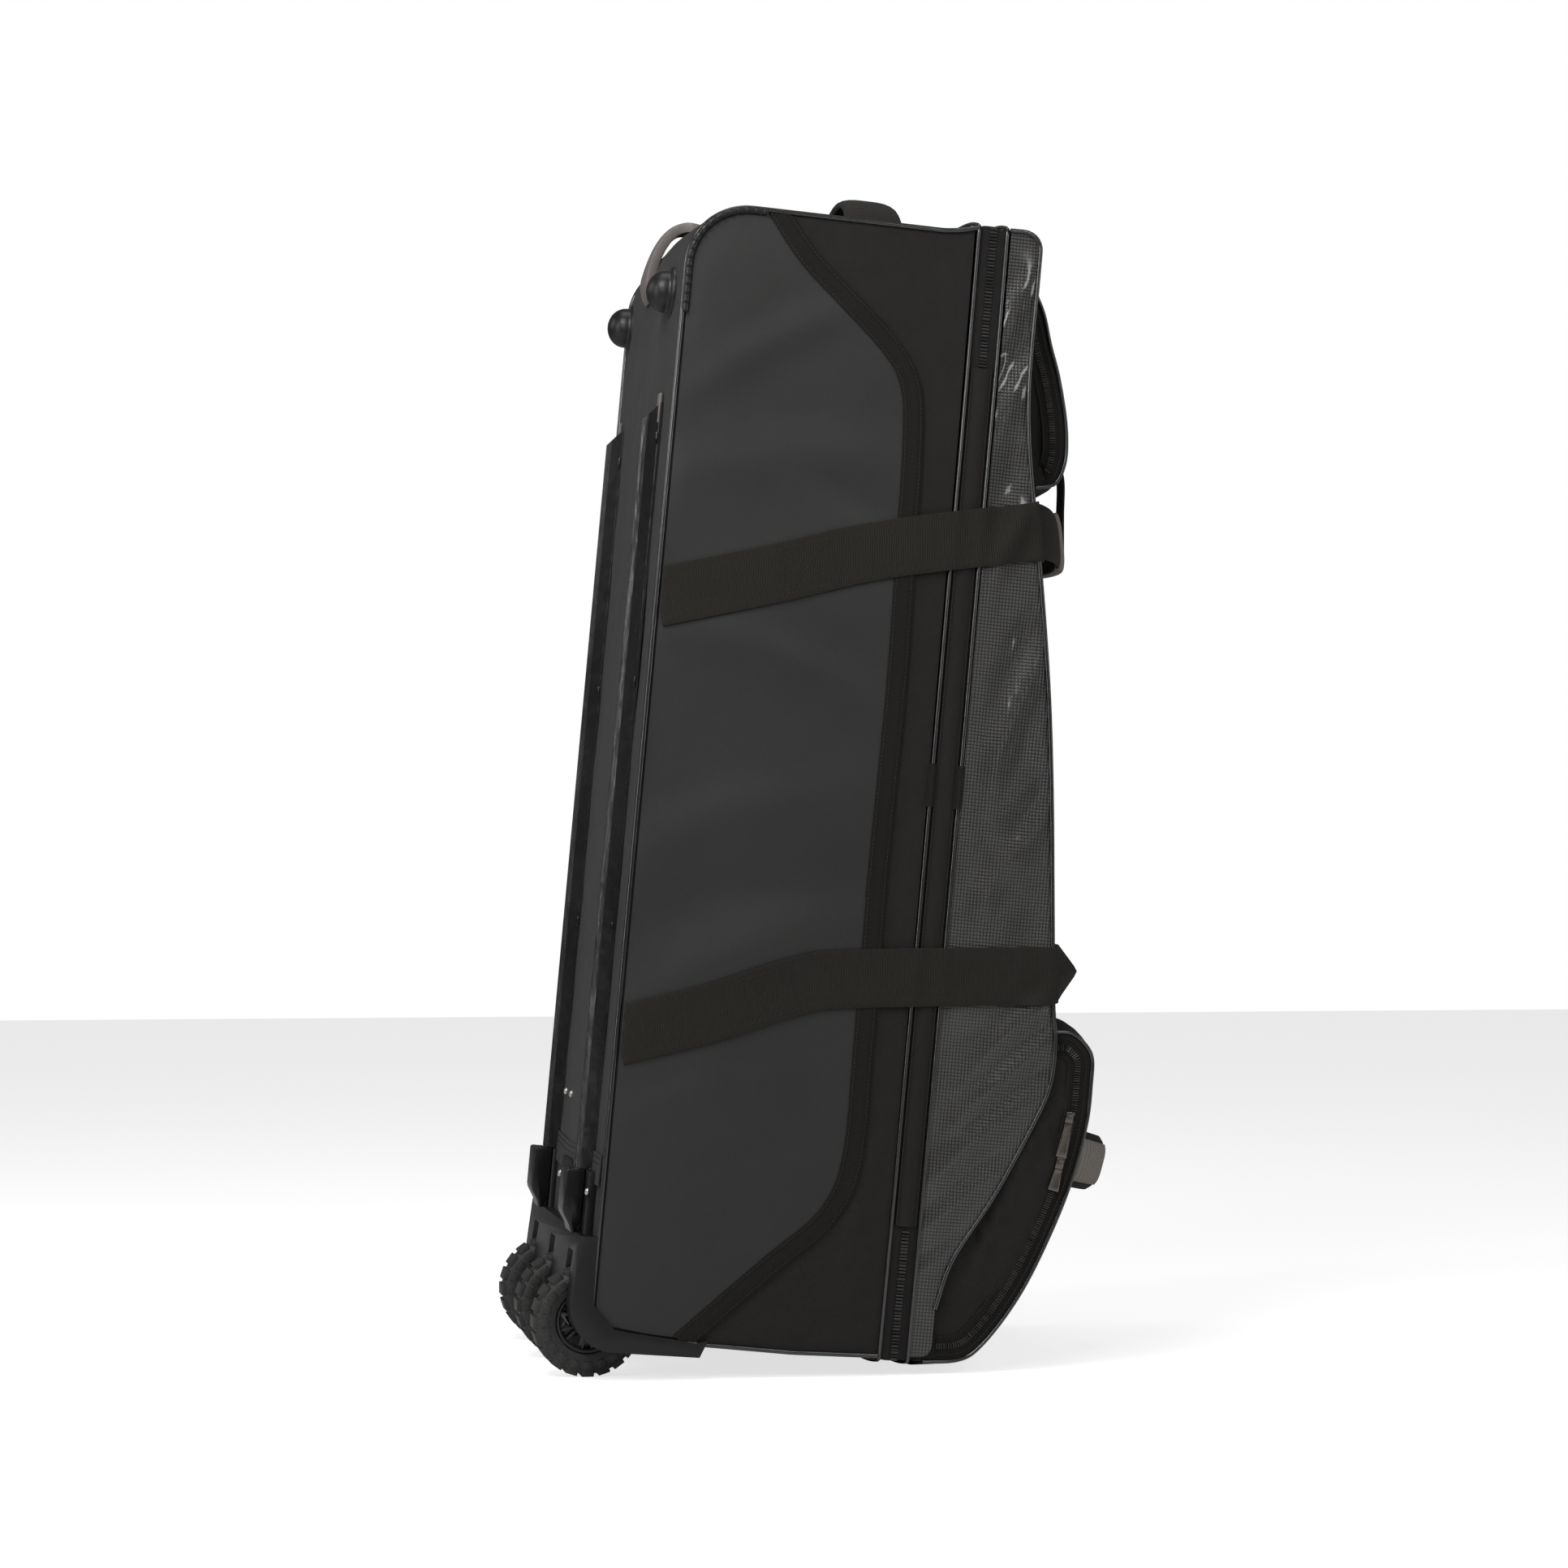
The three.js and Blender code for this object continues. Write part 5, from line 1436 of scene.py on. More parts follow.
@dataclass
class SidePanels:
    """The coated panels, the herringbone tapes along their edge and the dimpled corner strips."""

    seam: float = 0.0035
    tape_width: float = 0.018

    def build(self) -> None:
        """Build and dress the panels, tapes and corner strips."""
        edge = through(PANEL_EDGE * (TUB_DEPTH, LENGTH), 10)
        _, out = BODY.edge(BODY.places)
        inner = BODY.line[:, :2] - out * self.seam
        low = np.min(np.where(inner[:, 1] < 0.3, inner[:, 1], 1))
        high = inner[:, 1].max()
        edge = edge[(edge[:, 1] < high - 0.004) & (edge[:, 1] > low + 0.001)]
        first, last = (int(np.argmin(np.linalg.norm(inner - end, axis=1))) for end in (edge[0], edge[-1]))
        rim = np.vstack([inner[first:-1], inner[:last + 1]])
        outline = spaced(np.vstack([rim, edge[::-1]]), 0.006)
        panel = outline_sheet("side_panel_sheet", outline, 0.008, lambda u, v: side_lift(u, v) + 0.0013)
        thicken(panel, TAPE_WALL)
        both(panel, "side_panel_sheet", COATED, "coated_cloth", "side_panel")
        self.build_tape(edge)
        self.build_guard()

    def build_tape(self, edge: Array) -> None:
        """The tape over the panel's front edge, with a stitch line near each side of it."""
        step = 0.006
        line = spaced(edge, step)
        across = side_steps(line)
        across *= np.sign(across[len(line) // 2, 0])
        count = len(line) - 1

        def strip(a: Array, b: Array) -> tuple[Array, Array]:
            shift = a * self.tape_width - 0.001
            u, v = (between(b * count, line) + shift[:, None] * between(b * count, across)).T
            return u, np.minimum(v, LENGTH - 0.002)

        def place(a: Array, b: Array) -> Array:
            return on_side(*strip(a, b), 0.0021 + 0.0006 * np.sin(np.pi * a))

        size = (self.tape_width, len(line) * step)
        tape = grid_sheet("panel_tape_strip", 6, count, place, size, (0.0, 0.2, 0.5), ribs_across=True)
        thicken(tape, TAPE_WALL)
        both(tape, "panel_tape_strip", TAPE, "webbing", "panel_tape")
        shares = np.arange(len(line)) / count
        rows = [on_side(*strip(np.full(len(line), across_at), shares), 0.0028) for across_at in (0.12, 0.86)]
        sew("panel_tape_stitches", rows, "webbing")

    def build_guard(self) -> None:
        """The narrow strip with dimples round the upper back corner."""
        inset = 0.0022
        line = np.vstack([
            [(inset, LENGTH - TOP_BACK_RADIUS * 1.75, 0)],
            arc(TOP_BACK_RADIUS, LENGTH - TOP_BACK_RADIUS, TOP_BACK_RADIUS - inset, 180, 90, 0, 16),
            [(TOP_BACK_RADIUS * 1.2, LENGTH - inset, 0)],
        ])[:, :2]
        path = spaced(line, 0.0037)
        places = on_side(path[:, 0], path[:, 1], 0.0016)
        strip = tube("guard", places, 0.0034)
        dimples = repeated("dimples", small_box((0.0048, 0.0046, 0.0022), 0.0009),
                           line_frames(places + np.array([-0.0032, 0, 0]), 0.0075, LEFT_OUT))
        both(joined("corner_guard_strip", [strip, dimples]), "corner_guard_strip", MOULDED, "gloss_trim",
             "corner_guard")


@dataclass
class TubPiping:
    """The cord in the seam between the tub's side and its back, top and bottom."""

    radius: float = 0.0022

    def build(self) -> None:
        """Build and dress the two cords."""
        start, end = tub_span()
        edge, _ = BODY.edge(np.linspace(start, end, 420))
        line = np.column_stack([np.full(len(edge), -HALF_WIDTH - 0.0008), edge[:, :2]])
        cord = tube("tub_cord", line, self.radius)
        both(cord, "tub_cord", GLOSS_TRIM, "gloss_trim", "tub_piping", smooth=180)


@dataclass
class SideStraps:
    """The four webbing straps across the sides, folded over the lid's edge."""

    thickness: float = 0.0022
    wrap: float = 0.026

    def build(self) -> None:
        """Build and dress the straps."""
        for stem, table in (("strap_upper", STRAP_UPPER), ("strap_lower", STRAP_LOWER)):
            self.build_strap(stem, spaced(through(table * (STRAP_REACH, LENGTH), 12), 0.002))

    def surface(self, u: Array, v: Array) -> Array:
        """Distance of a strap's underside from the bag's middle: it rides over panel, tape and cords."""
        cords = sum(np.exp(-((u - seam) / 0.006) ** 2) for seam in (TUB_DEPTH, LID_START))
        return side_lift(u, v) + 0.0019 + 0.0016 * cords + self.thickness

    def build_strap(self, stem: str, line: Array) -> None:
        """One strap: along the side, round the front seam and a little way onto the front."""
        across = side_steps(line)
        rows, columns = 110, 12
        grid = np.zeros((columns + 1, rows + 1, 3))
        for i, b in enumerate(np.linspace(-0.5, 0.5, columns + 1)):
            edge = line + across * b * WEBBING
            keep = edge[(BODY.reach(edge[:, 0], edge[:, 1]) < 0.995) & (edge[:, 0] > 0.0036)]
            path = np.column_stack([-self.surface(keep[:, 0], keep[:, 1]), keep])
            t = np.linspace(-1.0, -1.0 + self.wrap / HALF_WIDTH, 6)
            front = BODY.band(t, np.full(6, BODY.place_of(*keep[-1])), 0.0042)
            turn = np.array([[-HALF_WIDTH - 0.0046, front[0, 1] + 0.001, front[0, 2]]])
            full = spaced(np.vstack([path, turn, front]), 0.002)
            for _ in range(3):
                full[1:-1] = (full[:-2] + full[2:] + 2 * full[1:-1]) / 4
            grid[i] = between(np.linspace(0, len(full) - 1, rows + 1), full)

        def place(a: Array, b: Array) -> Array:
            return grid[np.rint(a * columns).astype(int), np.rint(b * rows).astype(int)]

        reach = float(np.linalg.norm(np.diff(grid[columns // 2], axis=0), axis=1).sum())
        inside = (0.0, 0.18, float(line[:, 1].mean()))
        strap = grid_sheet(stem, columns, rows, place, (WEBBING, reach), inside, ribs_across=True)
        thicken(strap, self.thickness, bevel=0.0006)
        both(strap, f"{stem}_webbing", WEBBING_FINISH, "webbing", stem)
        self.build_box_stitch(stem, line, across)

    def build_box_stitch(self, stem: str, line: Array, across: Array) -> None:
        """The box with a cross where the strap is sewn to the panel, and a row near its front end."""
        def spot(u: float, shift: float) -> Array:
            index = np.interp(u, line[:, 0], np.arange(len(line)))
            return between(index, line) + between(index, across) * shift

        left, right, half = 0.106, 0.146, WEBBING * 0.38
        corners = [spot(left, -half), spot(right, -half), spot(right, half), spot(left, half)]
        lines = [[*corners, corners[0]], [corners[0], corners[2]], [corners[3], corners[1]]]
        lines.append([spot(0.012, -half), spot(0.012, half)])
        rows = []
        for points in lines:
            flat = spaced(np.array(points), 0.002)
            rows.append(np.column_stack([-(self.surface(flat[:, 0], flat[:, 1]) + 0.0001), flat]))
        sew(f"{stem}_stitches", rows, "webbing")


@dataclass
class Arch:
    """A band of webbing or padding that rises off a surface between two sewn feet."""

    span: float
    rise: float
    width: float
    thickness: float
    fold: float = 0.0
    foot: float = 0.8
    droop: float = 0.0
    crown: float = 0.0

    def sheet(self, name: str, seat: Callable[[float], float], low: float = -1.0, high: float = 1.0,
              grow: float = 0.0) -> Piece:
        """The band's outer face, about its own origin: X along it, Y across it, Z away.

        Args:
            name: Name of the piece.
            seat: Height of the surface at a place along X.
            low: Share of the span where the sheet starts.
            high: Share of the span where it ends.
            grow: Extra width and height.

        Returns:
            The sheet, before it is placed.
        """
        obj = new_grid(name, 64, 10)
        points = read(obj)
        t = low + (points[:, 0] + 0.5) * (high - low)
        w = points[:, 1] * 2
        share = np.clip(1 - (t / self.foot) ** 2, 0, 1)
        ridge = self.fold * np.minimum(1, share * 2) * (1 - np.sqrt(w ** 2 + 0.004)) - self.crown * w ** 4
        surface = np.array([seat(float(x)) for x in t * self.span / 2])
        height = surface + self.rise * share ** 0.8 + ridge + self.thickness + grow
        narrow = 1 - 0.06 * share
        across = w * (self.width / 2 * narrow + grow) - self.droop * share
        write(obj, np.column_stack([t * self.span / 2, across, height]))
        set_uv(obj, t * self.span / 2, w * self.width / 2)
        return obj


def seat_matrix(u: float, v: float, out_u: float, out_v: float) -> Matrix:
    """The place of a band that was built with its width on Y and its height on Z."""
    z = Vector((0, -out_u, out_v)).normalized()
    x = Vector((1, 0, 0))
    turn = Matrix((x, z.cross(x), z)).transposed().to_4x4()
    return AXES.turn() @ Matrix.Translation((0, -u, v)) @ turn


@dataclass
class CarryHandles:
    """The two webbing handles across the lid and the padded grip round the upper one."""

    gap: float = 0.0003

    def lid_swell(self, x: float) -> float:
        """How far the lid's front swells at a place across it."""
        return FRONT_BULGE * (1 - abs(x / HALF_WIDTH) ** 4) + 0.0012

    def seat(self, table: Array) -> Matrix:
        """The place where a handle crosses the lid."""
        v = float(table[-1, 1] * LENGTH)
        line = lid_line()
        u = float(np.interp(-v, -line[:, 1], line[:, 0]))
        ahead = float(np.interp(-(v - 0.02), -line[:, 1], line[:, 0]))
        return seat_matrix(u + self.gap, v, 1.0, (ahead - u) / 0.02)

    def build(self) -> None:
        """Build and dress both handles and the grip."""
        upper = Arch(0.356, 0.040, WEBBING, 0.0023, droop=0.010, crown=0.003)
        lower = Arch(0.356, 0.018, WEBBING, 0.0023, fold=0.018)
        for name, arch, table in (
                ("carry_handle_upper", upper, STRAP_UPPER), ("carry_handle_lower", lower, STRAP_LOWER)):
            band = placed(arch.sheet(f"{name}_webbing", self.lid_swell), self.seat(table))
            face_away(band, (0.0, 0.2, float(table[-1, 1] * LENGTH)))
            thicken(band, arch.thickness, bevel=0.0006)
            dress(band, WEBBING_FINISH, "webbing", "bag", name)
        self.build_grip(upper)
        self.build_keeper()

    def build_keeper(self) -> None:
        """The thin strap that comes out below the top pocket and holds the grip up."""
        width = 0.025
        path = spaced(through(np.array([
            (0.360, 0.800), (0.3765, 0.7914), (0.3840, 0.776), (0.3865, 0.745), (0.3885, 0.722),
            (0.3905, 0.700)])), 0.004)

        def place(a: Array, b: Array) -> Array:
            return np.column_stack([(a - 0.5) * width, between(b, path, np.linspace(0, 1, len(path)))])

        size = (width, 0.1)
        strap = grid_sheet("keeper", 6, len(path) - 1, place, size, (0.0, 0.2, 0.74), ribs_across=True)
        thicken(strap, 0.0018)
        dress(strap, WEBBING_FINISH, "webbing")

    def build_grip(self, arch: Arch) -> None:
        """The padded grip: one thick pad round the webbing, its edges rounded."""
        seat = self.seat(STRAP_UPPER)
        reach = 0.06 / (arch.span / 2)
        outer = placed(arch.sheet("grip_outer", self.lid_swell, -reach, reach, 0.0035), seat)
        face_away(outer, (0.0, 0.2, 0.714))
        thicken(outer, 0.009, bevel=0.0032)
        take(outer)
        soft = outer.modifiers.new("soft", "SUBSURF")
        soft.levels = soft.render_levels = 1
        bpy.ops.object.modifier_apply(modifier=soft.name)
        dress(outer, GRIP, "grip_pad", "bag", "carry_wrap", smooth=70)


@dataclass
class EndHandles:
    """The webbing handle on the top end, the grab handle on the bottom pocket and the moulded back handle."""

    def build(self) -> None:
        """Build and dress the three handles."""
        self.build_top()
        self.build_front()
        self.build_back()

    def build_top(self) -> None:
        """A padded webbing loop across the top."""
        arch = Arch(0.190, 0.034, 0.054, 0.006, crown=0.005)
        seat = seat_matrix(0.179, LENGTH + END_BULGE + 0.0004, 0.0, 1.0)
        band = placed(arch.sheet("top_handle_webbing", lambda x: 0.0), seat)
        face_away(band, (0.0, 0.179, 0.9))
        thicken(band, arch.thickness, bevel=0.002)
        dress(band, WEBBING_FINISH, "webbing", "bag", "top_handle")

    def build_front(self) -> None:
        """A webbing loop with a grey patch on its grip."""
        arch = Arch(0.170, 0.051, 0.054, 0.004, crown=0.009)
        seat = seat_matrix(0.288 + 0.128 * 0.94 + 0.012, 0.172, 1.0, -0.18)
        band = placed(arch.sheet("front_handle_webbing", lambda x: 0.0), seat)
        face_away(band, (0.0, 0.3, 0.172))
        thicken(band, arch.thickness, bevel=0.0012)
        dress(band, WEBBING_FINISH, "webbing", "bag", "front_handle")
        patch_arch = Arch(0.170, 0.051, 0.040, 0.004, crown=0.003)
        patch = placed(patch_arch.sheet("front_handle_patch", lambda x: 0.0016, -0.70, 0.70), seat)
        face_away(patch, (0.0, 0.3, 0.172))
        thicken(patch, 0.0014, bevel=0.0004)
        dress(patch, GRIP, "grip_pad")

    def build_back(self) -> None:
        """The moulded grey handle round the upper back corner: an arched bar with two flat feet."""
        centre = (TOP_BACK_RADIUS, LENGTH - TOP_BACK_RADIUS)
        skin = TOP_BACK_RADIUS + BACK_BULGE
        turns = np.array([192, 184, 174, 164, 154, 144, 135, 127, 120, 113, 106])
        rise = 0.0120 * np.array([0.06, 0.36, 0.52, 0.56, 0.66, 0.82, 0.96, 1.0, 0.86, 0.5, 0.1])
        path = through(np.column_stack([np.radians(turns), skin + rise]), 5)
        count = len(path)
        widths = np.interp(np.arange(count), [0, 12, 20, count - 16, count - 8, count],
                           [0.021, 0.021, 0.014, 0.014, 0.020, 0.020])
        table = np.column_stack([path, widths])

        def place(a: Array, b: Array) -> Array:
            angle, radius, half = between(b * (count - 1), table).T
            radius = radius + 0.0012 * np.cos((a - 0.5) * np.pi)
            u = centre[0] + radius * np.cos(angle)
            return np.column_stack([(a - 0.5) * 2 * half, u, centre[1] + radius * np.sin(angle)])

        bar = grid_sheet("back_handle_bar", 10, 55, place, (0.04, 0.1), (0.0, *centre))
        thicken(bar, 0.0088, -0.6, bevel=0.0018)
        dress(bar, GREY_HANDLE, "grey_handle", "bag", "back_handle")
        slots = []
        for angle in (186, 104):
            out = np.array([0.0, math.cos(math.radians(angle)), math.sin(math.radians(angle))])
            for x in (-0.011, 0.011):
                spot = np.array([x, *centre]) + (skin + 0.0052) * out
                slots.append(spot_frame(spot, (1.0, 0.0, 0.0), out))
        heads = repeated("back_handle_rivets", rivet_unit(0.003), slots)
        dress(heads, STEEL, "axle_steel")


def rivet_unit(radius: float) -> Piece:
    """A domed rivet head about its own origin, its dome along Z."""
    profile = np.array([
        (0.0, 0.55), (0.45, 0.48), (0.8, 0.3), (1.0, 0.0), (1.0, -0.3), (0.0, -0.3)]) * radius
    return lathed("rivet", profile, 16)


def prism(name: str, section: Array, low: float, high: float) -> Piece:
    """A section in (u, v) extruded across X, as by hand: one face, pushed out.

    Args:
        name: Name of the piece.
        section: Rows of u and v.
        low: First place across X.
        high: Last place across X.

    Returns:
        The new object, closed and facing out.
    """
    obj = new_polygon(name, AXES.row(np.column_stack([np.full(len(section), low), section])))
    extrude(obj, [(high - low, 0, 0)])
    return obj


@dataclass
class BackRails:
    """The skid rails with their end caps and screws, and the two round feet above them."""

    spacing: float = 0.125
    half: float = 0.015
    proud: float = 0.016
    start: float = 0.1314
    end: float = 0.791

    def build(self) -> None:
        """Build and dress the rails, caps and feet."""
        both(self.rail(), "rail_bar", RAIL_PLASTIC, "rail_plastic", "rail", smooth=25)
        both(self.cap(), "rail_cap_sheet", CAP_SHEET, "cap_sheet", "rail_cap")
        self.build_screws()
        self.build_feet()

    def rail(self) -> Piece:
        """A ridged channel with a flange at its base and a slanted upper end."""
        base = -back_swell(self.spacing) + 0.0004
        ridges = 9
        pitch = 2 * (self.half - 0.002) / ridges
        left = -self.half
        flange = [(left - 0.004, base), (left - 0.004, base - 0.0018), (left, base - 0.0022),
                  (left, -self.proud + 0.0012), (left + 0.0012, -self.proud)]
        section = list(flange)
        for i in range(ridges):
            x = -self.half + 0.002 + i * pitch
            section += [(x, -self.proud), (x + pitch * 0.3, -self.proud + 0.0009),
                        (x + pitch * 0.7, -self.proud + 0.0009)]
        section += [(-x, u) for x, u in reversed(flange)]
        profile = np.array(section) - (self.spacing, 0)
        obj = new_polygon("rail_bar", AXES.row(np.column_stack([profile, np.full(len(profile), self.start)])))
        origin, outward, up = AXES.row(np.array([(0, 0, 0), BACK_OUT, (0, 0, 1)]))
        outward, up = outward - origin, up - origin
        steps = 24
        extrude(obj, [up * (self.end - self.start) / steps] * steps)
        points = read(obj)
        height = (points - origin) @ up
        depth = (points - origin) @ outward
        top = height > self.end - 0.004
        points[top] -= np.outer(np.clip(depth[top] + base - 0.002, 0, None) * 1.15, up)
        write(obj, points)
        return obj

    def cap(self) -> Piece:
        """The glossy bent sheet over the rail's lower end, cut to a point."""
        section = np.array([
            (-0.0104, 0.1308), (-0.0262, 0.1308), (-0.0270, 0.1290), (-0.0270, 0.0960), (-0.0262, 0.0925),
            (-0.0205, 0.0830), (-0.0184, 0.0762), (-0.0150, 0.0770), (-0.0104, 0.0880)])
        cap = prism("rail_cap_sheet", section, -self.spacing - 0.019, -self.spacing + 0.019)
        soften(cap, 0.0016, 3, 30)
        return cap

    def build_screws(self) -> None:
        """Rivets beside the caps, and the flanges' screws."""
        spots = [(x, -0.0108, 0.116) for x in (-0.1655, 0.1655, -0.0355, 0.0355)]
        spots += [(x, -0.0060, 0.187) for x in (-0.085, -0.045, 0.045, 0.085)]
        marks = [spot_frame(spot, UP, BACK_OUT) for spot in spots]
        dress(repeated("tray_rivets", rivet_unit(0.0034), marks), STEEL, "axle_steel")
        edges = [rail + step for rail in (-self.spacing, self.spacing) for step in (-0.017, 0.017)]
        spots = [(x, -0.0062, v) for x in edges for v in np.arange(0.763, 0.12, -0.211)]
        marks = [spot_frame(spot, UP, BACK_OUT) for spot in spots]
        screws = repeated("rail_screws", small_box((0.010, 0.0034, 0.0030), 0.0012), marks)
        dress(screws, CAP_SHEET, "cap_sheet")
        place = at_x(-self.spacing - 0.010, -0.0056, self.end - 0.004)
        tab = placed(small_box((0.012, 0.0030, 0.026), 0.0010), place)
        both(tab, "rail_end_tab", GREY_HANDLE, "grey_handle")

    def build_feet(self) -> None:
        """Two domed feet on round plates."""
        radius, height, plate = 0.018, 0.022, 0.022
        dome = [(math.cos(turn) * radius, 0.006 + math.sin(turn) * (height - 0.006))
                for turn in np.linspace(math.pi / 2, 0, 9)]
        profile = np.array([*dome, (radius, 0.0035), (radius + 0.0006, 0.0028), (plate - 0.0006, 0.0022),
                            (plate, 0.0014), (plate, -0.001)])
        turn = Matrix.Rotation(-math.pi / 2, 4, "X")
        place = at_x(-0.132, -back_swell(0.132), LENGTH - 0.072, turn)
        foot = placed(lathed("foot_dome", profile, 36), place)
        both(foot, "foot_dome", FOOT_RUBBER, "foot_rubber", "foot", smooth=50)


@dataclass
class WheelSet:
    """The moulded tray and the three wheels in it."""

    radius: float = 0.047
    width: float = 0.030
    lugs: int = 20
    rim: float = 0.027

    def build(self) -> None:
        """Build and dress the tray, tyres and rims, and finish the axles."""
        self.build_tray()
        for word in ("left", "mid", "right"):
            low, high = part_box(f"tyre_{word}")
            centre = [(a + b) / 2 for a, b in zip(low, high)]
            turn = Matrix.Translation(centre) @ Matrix.Rotation(math.pi / 2, 4, "Y")
            body = f"wheel_{word}"
            tyre = placed(self.tyre(), turn)
            tyre.name = f"tyre_tread_{word}"
            dress(tyre, TYRE, "tyre_rubber", body, f"tyre_{word}", smooth=35)
            rim = placed(self.spokes(), turn)
            rim.name = f"rim_spokes_{word}"
            dress(rim, RIM, "rim_plastic", body, f"rim_{word}", smooth=35)
            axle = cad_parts[f"axle_{word}"]
            axle.data.materials.clear()
            axle.data.materials.append(STEEL.build())

    def build_tray(self) -> None:
        """A merged copy of the tray with its edges rounded."""
        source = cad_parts["wheel_tray"]
        tray = source.copy()
        tray.data = source.data.copy()
        tray.name = "wheel_tray_moulding"
        tray.parent = None
        bpy.context.collection.objects.link(tray)
        tray.matrix_world = Matrix.Identity(4)
        with Editing(tray):
            bpy.ops.mesh.remove_doubles(threshold=1e-5)
            bpy.ops.mesh.dissolve_limited(angle_limit=math.radians(2))
        soften(tray, 0.0016, 2, 28)
        dress(tray, MOULDED, "moulded_tray", "bag", "wheel_tray", smooth=35)

    def tyre(self) -> Piece:
        """Carcass, tread lugs and raised side blocks of one tyre, about its own Z axis."""
        half = self.width / 2
        r, rim = self.radius, self.rim
        profile = [
            (rim + 0.0002, -half + 0.004), (rim + 0.001, -half + 0.0015), (rim + 0.004, -half + 0.0005),
            (r - 0.010, -half), (r - 0.0050, -half + 0.0012), (r - 0.0026, -half + 0.0035)]
        profile += [(r - 0.0020, 0.0), *((reach, -height) for reach, height in reversed(profile))]
        carcass = lathed("carcass", np.array(profile), 80, closed=True)
        lug_places, block_places = [], []
        for i in range(self.lugs):
            angle = 2 * math.pi * i / self.lugs
            turn = Matrix.Rotation(angle, 4, "Z")
            middle = r - 0.0036
            lug_places.append(turn @ Matrix.Translation((middle, 0, 0)))
            for side in (-1, 1):
                shift = 0.5 if side > 0 else 0.0
                step = Matrix.Rotation(angle + shift * 2 * math.pi / self.lugs, 4, "Z")
                block_places.append(step @ Matrix.Translation((r - 0.0098, 0, side * (half - 0.0004))))
        lug = small_box((0.0072, 0.0106, self.width - 0.0030), 0.0010)
        block = small_box((0.0072, 0.0082, 0.0024), 0.0008)
        lugs = repeated("lugs", lug, lug_places)
        blocks = repeated("blocks", block, block_places)
        tyre = joined("tyre", [carcass, lugs, blocks])
        points = read(tyre)
        reach = np.hypot(points[:, 0], points[:, 1])
        limit = np.where(reach > self.radius, self.radius / np.maximum(reach, 1e-9), 1.0)
        points[:, :2] *= limit[:, None]
        write(tyre, points)
        return tyre

    def spokes(self) -> Piece:
        """Barrel, hub and double spokes of one rim, about its own Z axis."""
        rim, half = self.rim, 0.011
        barrel = lathed("barrel", np.array([
            (rim - 0.0004, -half), (rim - 0.0004, half), (rim - 0.0022, half + 0.0004),
            (rim - 0.0034, half - 0.001), (rim - 0.0034, -half + 0.001),
            (rim - 0.0022, -half - 0.0004)]), 64, closed=True)
        hub = lathed("hub", np.array([
            (0.0046, half - 0.001), (0.0058, half + 0.0012), (0.0075, half + 0.0004),
            (0.0086, half - 0.002), (0.0086, -half + 0.002), (0.0075, -half - 0.0004),
            (0.0058, -half - 0.0012), (0.0046, -half + 0.001)]), 40, closed=True)
        places = []
        for i in range(6):
            for lean in (-1, 1):
                angle = 2 * math.pi * i / 6 + lean * 0.16
                spot = Matrix.Rotation(angle, 4, "Z") @ Matrix.Translation((0.0158, 0, 0))
                places.append(spot @ Matrix.Rotation(lean * 0.07, 4, "Z"))
        bar = small_box((0.0172, 0.0024, 0.0165), 0.0006)
        bars = repeated("bars", bar, places)
        places = [Matrix.Rotation(2 * math.pi * i / 6, 4, "Z") @ Matrix.Translation((0.0158, 0, 0))
                  for i in range(6)]
        webs = repeated("webs", small_box((0.0166, 0.0042, 0.0050), 0.0006), places)
        return joined("rim", [barrel, hub, bars, webs])


@dataclass
class ZipPulls:
    """The two sliders and their tabs on the side of the bottom pocket, with the pulls' plain windows."""

    form: Form

    def build(self) -> None:
        """Build and dress the sliders and tabs."""
        for level, u, v, turn, length in (
                ("upper", 0.3995, 0.216, -8.0, 0.030), ("lower", 0.3945, 0.176, -10.0, 0.019)):
            x = -(float(self.form.side(np.array([u]), np.array([v]))[0]) + 0.0018)
            base = self.matrix(x, u, v, turn)
            body = small_box((0.0072, 0.0100, 0.0030), 0.0010)
            nose = placed(small_box((0.0040, 0.0044, 0.0022), 0.0007), Matrix.Translation((0, 0.003, 0.0022)))
            slider = placed(joined("slider", [body, nose]), base @ Matrix.Translation((0, -0.0055, 0.0006)))
            slider.name = f"zip_slider_body_{level}"
            dress(slider, GUNMETAL, "pull_metal", "bag", f"zip_slider_{level}")
            tab = placed(self.tab(length), base @ Matrix.Translation((0, -0.0105, 0.0012)))
            tab.name = f"pull_tab_plate_{level}"
            dress(tab, GUNMETAL, "pull_metal", "bag", f"pull_tab_{level}")

    def matrix(self, x: float, u: float, v: float, turn: float) -> Matrix:
        """A place on the left side: Y up the bag, Z away from it."""
        axes = Matrix(((0, 0, -1, 0), (-1, 0, 0, 0), (0, 1, 0, 0), (0, 0, 0, 1)))
        return at_x(x, u, v) @ axes @ Matrix.Rotation(math.radians(turn), 4, "Z")

    def tab(self, length: float) -> Piece:
        """A tapered tab of a given length with a sunk window."""
        deselect()
        bpy.ops.mesh.primitive_plane_add(size=1.0)
        obj = bpy.context.object
        with Editing(obj):
            bpy.ops.mesh.inset(thickness=0.18)
        points = read(obj)
        wide, narrow = 0.0048, 0.0032
        share = 0.5 - points[:, 1]
        half = narrow + (wide - narrow) * np.clip(share * 1.6, 0, 1)
        write(obj, np.column_stack([points[:, 0] * 2 * half, -share * length, points[:, 2]]))
        extrude(obj, [(0, 0, 0.0018)])
        points = read(obj)
        inner = (np.abs(points[:, 0]) < narrow * 0.75) & (points[:, 1] < -0.1 * length) & (
            points[:, 1] > -0.9 * length) & (points[:, 2] > 0.001)
        points[inner, 2] -= 0.0012
        write(obj, points)
        soften(obj, 0.0004, 2, 30)
        return obj


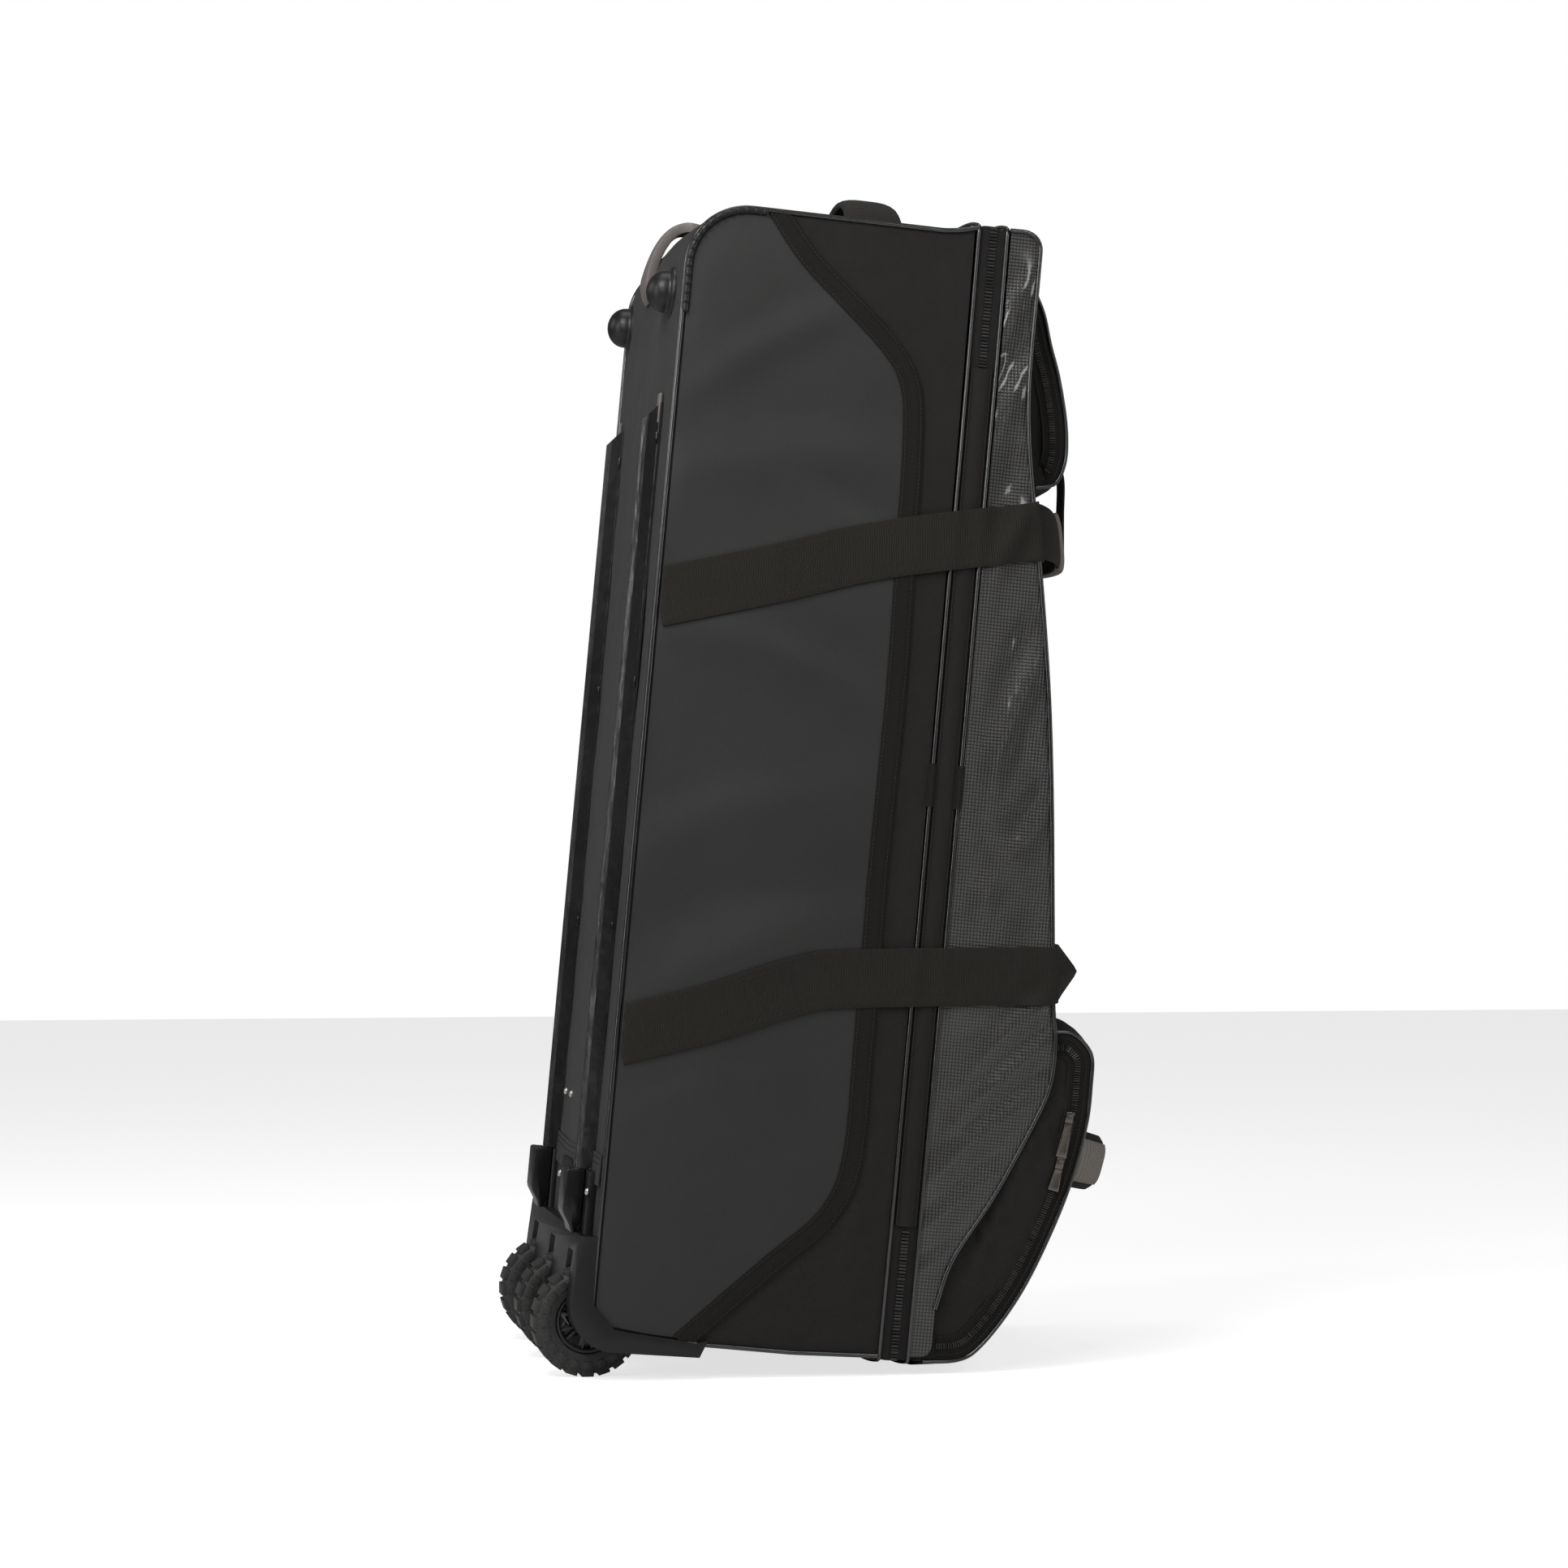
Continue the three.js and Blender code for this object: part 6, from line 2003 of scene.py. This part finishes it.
@dataclass
class Studio:
    """The plain floor and backdrop, the soft lights and the camera at the photograph's angle."""

    focal_pixels: float = 5190.0
    image_pixels: float = 1932.0
    horizon_pixel: float = 1030.0
    yaw: float = math.radians(9.6)

    def build(self) -> None:
        """Build the floor, lights, world and camera."""
        self.build_camera()
        self.build_floor()
        for name, spot, size, power in (
                ("key", (-1.1, 0.8, 1.8), (0.7, 0.7), 14.0),
                ("sheen", (-2.6, -1.0, 2.0), (0.6, 0.6), 10.0),
                ("crease", (-1.75, 0.85, 1.15), (0.35, 0.35), 4.0),
                ("strip_back", (-0.9, 2.3, 1.1), (0.2, 1.6), 11.0),
                ("strip_front", (-1.5, -2.3, 1.1), (0.2, 1.6), 8.0),
                ("rear", (0.8, 2.6, 1.8), (1.2, 1.2), 8.0),
                ("top", (0.0, 0.2, 3.2), (1.4, 1.4), 12.0)):
            self.light(name, spot, size, power)
        world = bpy.data.worlds.new("studio")
        world.use_nodes = True
        board = NodeBoard(world.node_tree)
        background = world.node_tree.nodes["Background"]
        path = board.add("ShaderNodeLightPath")
        glow = board.math("MULTIPLY_ADD", path.outputs["Is Camera Ray"], 0.9, 0.1)
        background.inputs["Color"].default_value = (1.0, 1.0, 1.0, 1.0)
        board.tree.links.new(glow, background.inputs["Strength"])
        bpy.context.scene.world = world
        bpy.context.scene.view_settings.view_transform = "Standard"

    def build_camera(self) -> None:
        """The camera where the photograph's perspective puts it."""
        data = bpy.data.cameras.new("camera")
        camera = bpy.data.objects.new("camera", data)
        bpy.context.collection.objects.link(camera)
        data.sensor_width = 36.0
        data.lens = 36.0 * self.focal_pixels / self.image_pixels
        camera.location = (-3.7228, AXES.corner_y + 0.4321, AXES.corner_z + 0.4164)
        tilt = math.atan((self.horizon_pixel - self.image_pixels / 2) / self.focal_pixels)
        camera.rotation_euler = (math.pi / 2 + tilt, 0.0, -math.pi / 2 - self.yaw)
        bpy.context.scene.camera = camera

    def build_floor(self) -> None:
        """A wide pale floor."""
        deselect()
        bpy.ops.mesh.primitive_plane_add(size=14.0)
        floor = bpy.context.object
        floor.name = "studio_floor"
        paint = bpy.data.materials.new("floor_paint")
        paint.use_nodes = True
        shader = paint.node_tree.nodes["Principled BSDF"]
        shader.inputs["Base Color"].default_value = (0.86, 0.86, 0.86, 1.0)
        shader.inputs["Roughness"].default_value = 0.7
        shader.inputs["Emission Color"].default_value = (1.0, 1.0, 1.0, 1.0)
        board = NodeBoard(paint.node_tree)
        path = board.add("ShaderNodeLightPath")
        glow = board.math("MULTIPLY", path.outputs["Is Camera Ray"], 0.72)
        board.tree.links.new(glow, shader.inputs["Emission Strength"])
        floor.data.materials.append(paint)

    def light(self, name: str, spot: Sequence[float], size: tuple[float, float], power: float) -> None:
        """One soft light of a width and height, aimed at the middle of the bag."""
        data = bpy.data.lights.new(name, "AREA")
        data.shape = "RECTANGLE"
        data.size, data.size_y = size
        data.energy = power
        lamp = bpy.data.objects.new(name, data)
        bpy.context.collection.objects.link(lamp)
        lamp.location = spot
        aim = Vector((0.0, 0.0, 0.5)) - Vector(spot)
        lamp.rotation_euler = aim.to_track_quat("-Z", "Y").to_euler()


def main() -> None:
    """Build every sub-assembly in order and report each one."""
    logging.basicConfig(level=logging.INFO, format="%(message)s")
    Studio().build()
    for piece in (TubShell(), ZipGusset(), LidShell(), TubPiping(), SidePanels(), SideStraps(),
                  CarryHandles(), EndHandles(), BackRails(), WheelSet()):
        piece.build()
        LOG.info("built %s", type(piece).__name__)
    top_pocket().build()
    form = bottom_pocket().build()
    ZipPulls(form).build()
    LOG.info("built the pockets and pulls")


if __name__ == "__main__":
    main()
